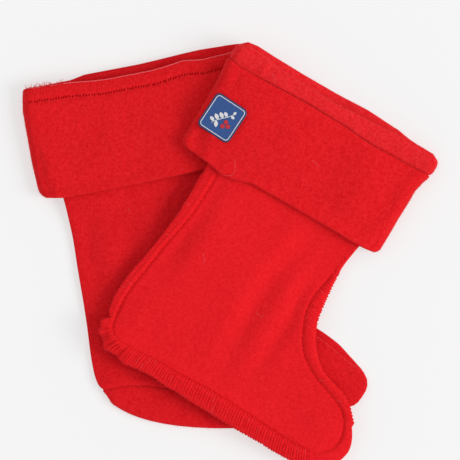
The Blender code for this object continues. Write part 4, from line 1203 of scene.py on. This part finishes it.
start = row_at(badged_rows[:, 1], 74)
strands("groove_stitches", groove_stitches(STRIP + 1, start, badged.rows - 4, 3.6, 83)
        + groove_stitches(STRIP + badged.middle - 1, start, badged.rows - 4, 3.6, 84),
        0.22, GROOVE_SHADE_THREAD, 0, 0.6)

# %% Pale ends of thread that stand out of the overlocked edge
def stray_loops(source, share, seed):
    """Fine pale thread that follows some of the loops, a little off them."""
    chance = np.random.default_rng(seed)
    chosen = [path for path in source if chance.random() < share]
    paths = []
    for path in chosen:
        a = chance.integers(0, 4)
        piece = np.array(path[a:a + 3])
        piece[:, :2] += chance.uniform(-0.5, 0.5, (len(piece), 2))
        piece[:, 2] += 0.8
        paths.append(piece)
    return paths


strands("pale_overlock_ends", stray_loops(loops["back_overlock"], 0.14, 91)
        + stray_loops(loops["sole_overlock"], 0.07, 92)
        + stray_loops(loops["front_overlock"], 0.05, 93), 0.055, PALE_THREAD, 0, 0.5)

# %% [markdown]
# ## Thread at the plain liner's mouth
# The plain cuff's mouth is overlocked too: a pale thread runs along each cut edge and
# also paints its highlight, bars of thread cross the swollen band, and a row of dark
# strands, painted shade of the needle holes, closes it.
# At the back corner the thread has frayed.

# %% Mouth stitches
def wander(seed, count, amount):
    """A gentle random walk for hand-laid thread."""
    steps = np.random.default_rng(seed).uniform(-1, 1, count)
    return np.convolve(steps, (0.25, 0.5, 0.25), "same") * amount


def edge_thread(line, inset, seed, amount):
    """A wandering line of pale thread just inside one edge of the plain cuff's mouth; it also
    paints the edge's highlight.
    """
    along = np.arange(-1.5, 148.0, 0.8)
    v = table_value(PLAIN_CUFF[line], along) + inset + wander(seed, len(along), amount)
    return to_surface(PLAIN_LIE, np.stack([along, v], axis=1))


cuff_skin = skin(plain_cuff)
chance = np.random.default_rng(101)
# The pale thread along each mouth edge is real overlock thread and also stands in for the edge's
# highlight: partly painted highlight.
near_edge = lay(cuff_skin, edge_thread("top_upper", 0.55, 5, 0.25), 0.1)
far_edge = lay(cuff_skin, edge_thread("top_lower", 0.5, 6, 0.2)[45:], 0.1)
strands("mouth_edge_thread_and_highlight", [near_edge, far_edge], 0.17, PALE_THREAD, 1, 0.6)

holes, bars = [], []
for u in np.arange(1.5, 147.0, 1.8):
    u = u + chance.uniform(-0.2, 0.2)
    edge = float(table_value(PLAIN_CUFF["top_upper"], u))
    deep, lean = 8.6 + chance.uniform(-0.3, 0.3), chance.uniform(-0.35, 0.15)
    down = np.array([(u + lean * k, edge + deep + 0.75 * k) for k in range(3)])
    hole = lay(cuff_skin, to_surface(PLAIN_LIE, down), 0.02)
    down = np.array([(u + 0.5 - 0.12 * k, edge + 0.9 + 1.25 * k) for k in range(6)])
    bar = lay(cuff_skin, to_surface(PLAIN_LIE, down), -0.02)
    if len(hole) == 3 and len(bar) == 6:
        holes.append(hole)
        bars.append(bar)
# Dark strands painted as the shade inside the needle holes.
strands("mouth_needle_hole_shade", holes, 0.40, HOLE_SHADE_THREAD, 1, 0.5)
strands("mouth_thread_bars", bars, 0.24, CUFF_RED, 0, 0.6)

# %% Stitches along the front edge of the plain upper panel; their pale pink is painted highlight
edge = plain_up_flat[row_at(plain_rows[:, 3], 172):plain.rows, -3]
run = run_of(edge)
under_skin = skin(plain_up)
front_stitches = []
for spot in np.arange(0.5, run[-1] - 2.0, 2.2):
    reach = spot + np.linspace(0, chance.uniform(1.3, 1.9), 3)
    places = np.stack([np.interp(reach, run, edge[:, k]) for k in range(2)], axis=1)
    front_stitches.append(lay(under_skin, to_surface(PLAIN_LIE, places), 0.06))
strands("front_edge_stitches", front_stitches, 0.13, PINK_SHEEN_FIBRE, 0, 0.6)

# %% Frayed thread and stray fibres
HAIR_POINTS = 9


def hairs(tree, lie, spots, seed):
    """Curly fibres: u and v of the root, direction in degrees, length and curl."""
    chance = np.random.default_rng(seed)
    paths = []
    for u, v, degrees, length, curl in spots:
        heading, place, path = math.radians(degrees), np.array((u, v)), []
        for _ in range(HAIR_POINTS):
            path.append(place.copy())
            heading += math.radians(curl) / (HAIR_POINTS - 1) + chance.uniform(-0.12, 0.12)
            step = length / (HAIR_POINTS - 1)
            place += np.array((math.cos(heading), math.sin(heading))) * step
        places = to_surface(lie, np.array(path))
        base = lay(tree, places, 0.35)
        if len(base) == HAIR_POINTS:
            paths.append(base)
        elif len(base):
            heights = np.linspace(base[0][2], max(base[0][2] - 1.5, 0.3), HAIR_POINTS)
            paths.append(np.column_stack([places, heights]))
    return paths


def frayed_spots(places, short, long):
    """Roots and headings of loose ends along the plain cuff's mouth."""
    return [(u, float(table_value(PLAIN_CUFF["top_upper"], u)) + 0.8,
             -90 + chance.uniform(-55, 55), chance.uniform(short, long),
             chance.uniform(-110, 110)) for u in places]


frayed = frayed_spots(np.linspace(1, 26, 44), 1.8, 3.8)
strands("frayed_mouth_fibres", hairs(cuff_skin, PLAIN_LIE, frayed, 103), 0.13, CUFF_RED,
        0, 0.4)
frayed = frayed_spots(np.concatenate([np.linspace(3, 24, 12), np.linspace(30, 140, 9)]),
                      2.0, 4.2)
strands("frayed_mouth_thread", hairs(cuff_skin, PLAIN_LIE, frayed, 104), 0.08,
        PALE_THREAD, 0, 0.4)


# %% Stray fibres that lie on the cloth, at their places on the surface in millimetres
def stray_fibre(tree, corners):
    """A fine fibre through a few places, rounded between them."""
    corners = np.array(corners, float)
    steps = np.linspace(0, len(corners) - 1, 6 * len(corners))
    line = np.stack([np.interp(steps, range(len(corners)), corners[:, k])
                     for k in range(2)], axis=1)
    return lay(tree, soften(line, 12), 0.12)


leg_skin, band_skin = skin(badged_up), skin(badged_cuff, badged_roll)
stray = [
    stray_fibre(band_skin, [(26.8, 117.8), (28.4, 115.0), (28.7, 111.3)]),
    stray_fibre(leg_skin, [(16.2, -35.6), (17.7, -38.2), (21.0, -39.4)]),
    stray_fibre(band_skin, [(1.8, 63.2), (3.4, 57.5), (1.4, 52.1), (-5.1, 52.1)]),
    stray_fibre(under_skin, [(-66.2, 31.4), (-65.6, 28.2)]),
    stray_fibre(leg_skin, [(-18.0, 2.0), (-16.5, -2.5), (-18.2, -5.0)]),
    stray_fibre(band_skin, [(52.0, 62.0), (55.5, 60.5), (57.0, 57.0)]),
]
strands("stray_fibres", stray, 0.06, PALE_THREAD, 0, 0.4)


# %% Fuzz: short fibres that stand off the rims, their pale pink painted sheen
def fuzz(name, pieces, count, seed):
    """Fine fibres rooted on the cloth's outer face, most of them where it turns away; their pink
    paints the rims' sheen.
    """
    chance = np.random.default_rng(seed)
    centres, normals, areas = [], [], []
    for piece in pieces:
        faces = piece.data.polygons
        for key, width, store in (("center", 3, centres), ("normal", 3, normals),
                                  ("area", 1, areas)):
            values = np.zeros(len(faces) * width)
            faces.foreach_get(key, values)
            store.append(values.reshape(-1, width))
    centres, normals = np.vstack(centres) / MM, np.vstack(normals)
    weight = np.vstack(areas)[:, 0] * (0.03 + (1 - np.abs(normals[:, 2])) ** 2)
    weight *= centres[:, 2] > 1.0
    paths = []
    for k in chance.choice(len(weight), count, p=weight / weight.sum()):
        way = normals[k] + chance.uniform(-0.9, 0.9, 3)
        way *= chance.uniform(0.5, 1.3) / np.linalg.norm(way)
        bend = way * 0.5 + chance.uniform(-0.25, 0.25, 3)
        root = centres[k] - normals[k] * 0.1
        path = np.array([root, root + bend, root + way])
        path[:, 2] = np.maximum(path[:, 2], 0.15)
        paths.append(path)
    strands(name, paths, 0.035, PINK_SHEEN_FIBRE, 0, 0.5)


fuzz("cuff_fuzz", [plain_cuff, badged_cuff, badged_roll], 2800, 111)
fuzz("panel_fuzz", [plain_up, plain_sole, badged_up], 2000, 112)

# %% [markdown]
# ## The moulded badge
# A soft rounded square with a raised pale border on a blue field. Its design is a
# made-up sprig with berries, cut as thin raised shapes.

# %% Badge
NAVY = plain_material("badge_side", (0.022, 0.040, 0.115), 0.5, 0.0, 0.4)
BLUE = plain_material("badge_field", (0.030, 0.085, 0.270), 0.6, 0.0, 0.3)
WHITE = plain_material("badge_border", (0.72, 0.72, 0.74), 0.6, 0.0, 0.3)
BERRY = plain_material("badge_berries", (0.55, 0.02, 0.03), 0.5, 0.0, 0.4)

half = np.array((BADGE["width"], BADGE["length"])) / 2
turn = math.radians(BADGE["turn"])
across = np.array((math.cos(turn), math.sin(turn)))
down = np.array((-across[1], across[0]))


def badge_seat(a, b):
    """Place on the surface of an offset across and down the badge."""
    return to_surface(BADGED_LIE, (BADGE["u"], BADGE["v"]) + across * a + down * b)


def rounded_square(half, corner, steps=8):
    """Points round a rounded square, as offsets across and down."""
    points = []
    for q, (sx, sy) in enumerate(((1, 1), (-1, 1), (-1, -1), (1, -1))):
        for k in range(steps + 1):
            angle = math.pi / 2 * (q + k / steps)
            points.append((sx * (half[0] - corner) + corner * math.cos(angle),
                           sy * (half[1] - corner) + corner * math.sin(angle)))
    return points


def seat_height():
    """The plane that fits the cuff under the badge best, and the cuff's most above it."""
    badge_skin = skin(badged_cuff)
    fit = np.array([(a, b, 1.0, drop(badge_skin, *badge_seat(a * 0.9, b * 0.9)))
                    for a, b in rounded_square(half, BADGE["corner"], 4)])
    plane, *_ = np.linalg.lstsq(fit[:, :3], fit[:, 3], rcond=None)
    return plane, (fit[:, 3] - fit[:, :3] @ plane).max()


seat_plane, seat_rise = seat_height()


def badge_point(a, b, height):
    """A world point on the badge, the given height above the cuff."""
    x, y = badge_seat(a, b)
    z = seat_plane[0] * a + seat_plane[1] * b + seat_plane[2] + seat_rise * 0.6 + height
    return Vector((x, y, z)) * MM


def join_rings(bm, rings):
    """Faces from each ring of corners to the next."""
    count = len(rings[0])
    for lower, upper in zip(rings, rings[1:]):
        for k in range(count):
            after = (k + 1) % count
            bm.faces.new((lower[k], lower[after], upper[after], upper[k]))


def badge_piece(name, bm, material):
    """A finished part of the badge: its sides smooth, its flat faces flat."""
    bmesh.ops.recalc_face_normals(bm, faces=bm.faces)
    for face in bm.faces:
        face.smooth = len(face.verts) == 4
    piece = mesh_object(name, bm, material)
    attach(piece, "root")
    return piece


def badge_slab(name, outlines, low, high, material, soft=0.25):
    """Raised shapes on the badge: outlines of offsets, given a rounded top edge."""
    bm = bmesh.new()
    for outline in outlines:
        middle = np.mean(outline, axis=0)
        rings = []
        for shrink, height in ((0.0, low), (0.0, high - soft),
                               (soft * 0.3, high - soft * 0.3), (soft, high)):
            ring = []
            for corner in outline:
                away = np.array(corner) - middle
                reach = max(np.linalg.norm(away), 1e-6)
                a, b = middle + away * max(reach - shrink, reach * 0.2) / reach
                ring.append(bm.verts.new(badge_point(a, b, height)))
            rings.append(ring)
        join_rings(bm, rings)
        bm.faces.new(rings[-1])
        bm.faces.new(rings[0][::-1])
    return badge_piece(name, bm, material)


def badge_ring(name, half_out, corner, wide, low, high, material):
    """The raised border: a rounded square tube of oval section."""
    bm = bmesh.new()
    rings = []
    for shrink, height in ((0, low), (0.1, high), (wide / 2, high + 0.08),
                           (wide - 0.1, high), (wide, low)):
        ring = rounded_square(half_out - shrink, corner - shrink)
        rings.append([bm.verts.new(badge_point(a, b, height)) for a, b in ring])
    join_rings(bm, rings + rings[:1])
    badge_piece(name, bm, material)


def leaf(a, b, degrees, length, wide):
    """A pointed leaf outline from its stalk end."""
    way = math.radians(degrees)
    ahead, aside = np.array((math.cos(way), math.sin(way))), np.array((-math.sin(way),
                                                                    math.cos(way)))
    places = [(t, wide * math.sin(math.pi * t) ** 0.8) for t in np.linspace(0.02, 0.98, 9)]
    edge = [np.array((a, b)) + ahead * length * t + aside * w for t, w in places]
    edge += [np.array((a, b)) + ahead * length * t - aside * w for t, w in places[::-1]]
    return edge


def disc(a, b, radius, count=16):
    """A round outline."""
    return [(a + radius * math.cos(2 * math.pi * k / count),
             b + radius * math.sin(2 * math.pi * k / count)) for k in range(count)]


body = badge_slab("badge_body", [rounded_square(half, BADGE["corner"])], 0.02, 1.55, NAVY,
                  0.45)
dress(body, "badge")
badge_slab("badge_blue_field", [rounded_square(half - 0.95, BADGE["corner"] - 0.9)], 1.35,
           1.62, BLUE, 0.1)
badge_ring("badge_pale_border", half - 1.15, BADGE["corner"] - 1.0, 0.62, 1.5, 1.78, WHITE)
stalk = [(-4.6, 6.4), (-2.6, 3.4), (-0.2, 0.6), (2.6, -2.2), (5.0, -5.6)]
stalk_path = [tuple(badge_point(a, b, 1.72) / MM) for a, b in stalk]
strands("badge_stalk", [stalk_path], 0.26, WHITE, 1, 0.8)
leaves = [leaf(-3.4, 4.6, -165, 4.0, 1.15), leaf(-1.8, 2.4, -150, 4.4, 1.3),
          leaf(0.4, 0.0, -150, 4.4, 1.3), leaf(2.4, -2.2, -155, 3.8, 1.15),
          leaf(-2.6, 3.6, 60, 4.4, 1.3), leaf(3.9, -4.0, 10, 3.0, 1.0),
          leaf(4.9, -5.4, -80, 2.6, 0.95)]
badge_slab("badge_leaves", leaves, 1.55, 1.85, WHITE, 0.12)
badge_slab("badge_berries", [disc(3.3, 1.2, 1.5), disc(5.9, 2.9, 1.5), disc(2.9, 4.6, 1.5)],
           1.55, 2.05, BERRY, 0.3)

# %% [markdown]

# %% [markdown]
# ## Floor, light and camera
# A pale floor, one broad soft light from the lower right that rakes across the cloth,
# and an even fill. The camera looks straight down through a long lens.

# %% Stage
PICTURE = 460 * 0.65 * MM       # width of the picture on the floor
CENTRE = Vector((-0.518, 17.016, 0.0)) * MM
DISTANCE = 4.0
FLOOR_SHADE, FLOOR_GLOW = 0.36, 0.562


def stage_floor():
    """A pale floor that glows a little, as overexposed studio paper does."""
    bm = bmesh.new()
    bmesh.ops.create_grid(bm, x_segments=1, y_segments=1, size=6.0)
    paper = new_material("pale_floor", {
        "Base Color": (FLOOR_SHADE, FLOOR_SHADE, FLOOR_SHADE, 1), "Roughness": 0.9,
        "Specular IOR Level": 0.0, "Emission Color": (1, 1, 1, 1),
        "Emission Strength": FLOOR_GLOW})[0]
    mesh_object("floor", bm, paper)


stage_floor()
camera_data = bpy.data.cameras.new("camera")
camera_data.lens = 36.0 * DISTANCE / PICTURE
camera_data.sensor_width = 36.0
camera_data.clip_end = 50.0
camera = add_object("camera", camera_data)
camera.location = CENTRE + Vector((0, 0, DISTANCE))
bpy.context.scene.camera = camera


def area_light(name, place, size, power):
    """A square soft light at a place, turned to the middle of the picture."""
    data = bpy.data.lights.new(name, "AREA")
    data.shape = "SQUARE"
    data.size = size
    data.energy = power
    lamp = add_object(name, data)
    lamp.location = place
    lamp.rotation_euler = (CENTRE - Vector(place)).to_track_quat("-Z", "Y").to_euler()


area_light("key", (7.6, -1.6, 5.9), 4.9, 530.0)
area_light("fill", (-1.6, 1.8, 3.6), 3.0, 14.0)
world = bpy.data.worlds.new("studio")
world.use_nodes = True
backdrop = world.node_tree.nodes["Background"]
backdrop.inputs["Color"].default_value = (1, 1, 1, 1)
backdrop.inputs["Strength"].default_value = 0.62
bpy.context.scene.world = world
bpy.context.scene.view_settings.view_transform = "Standard"
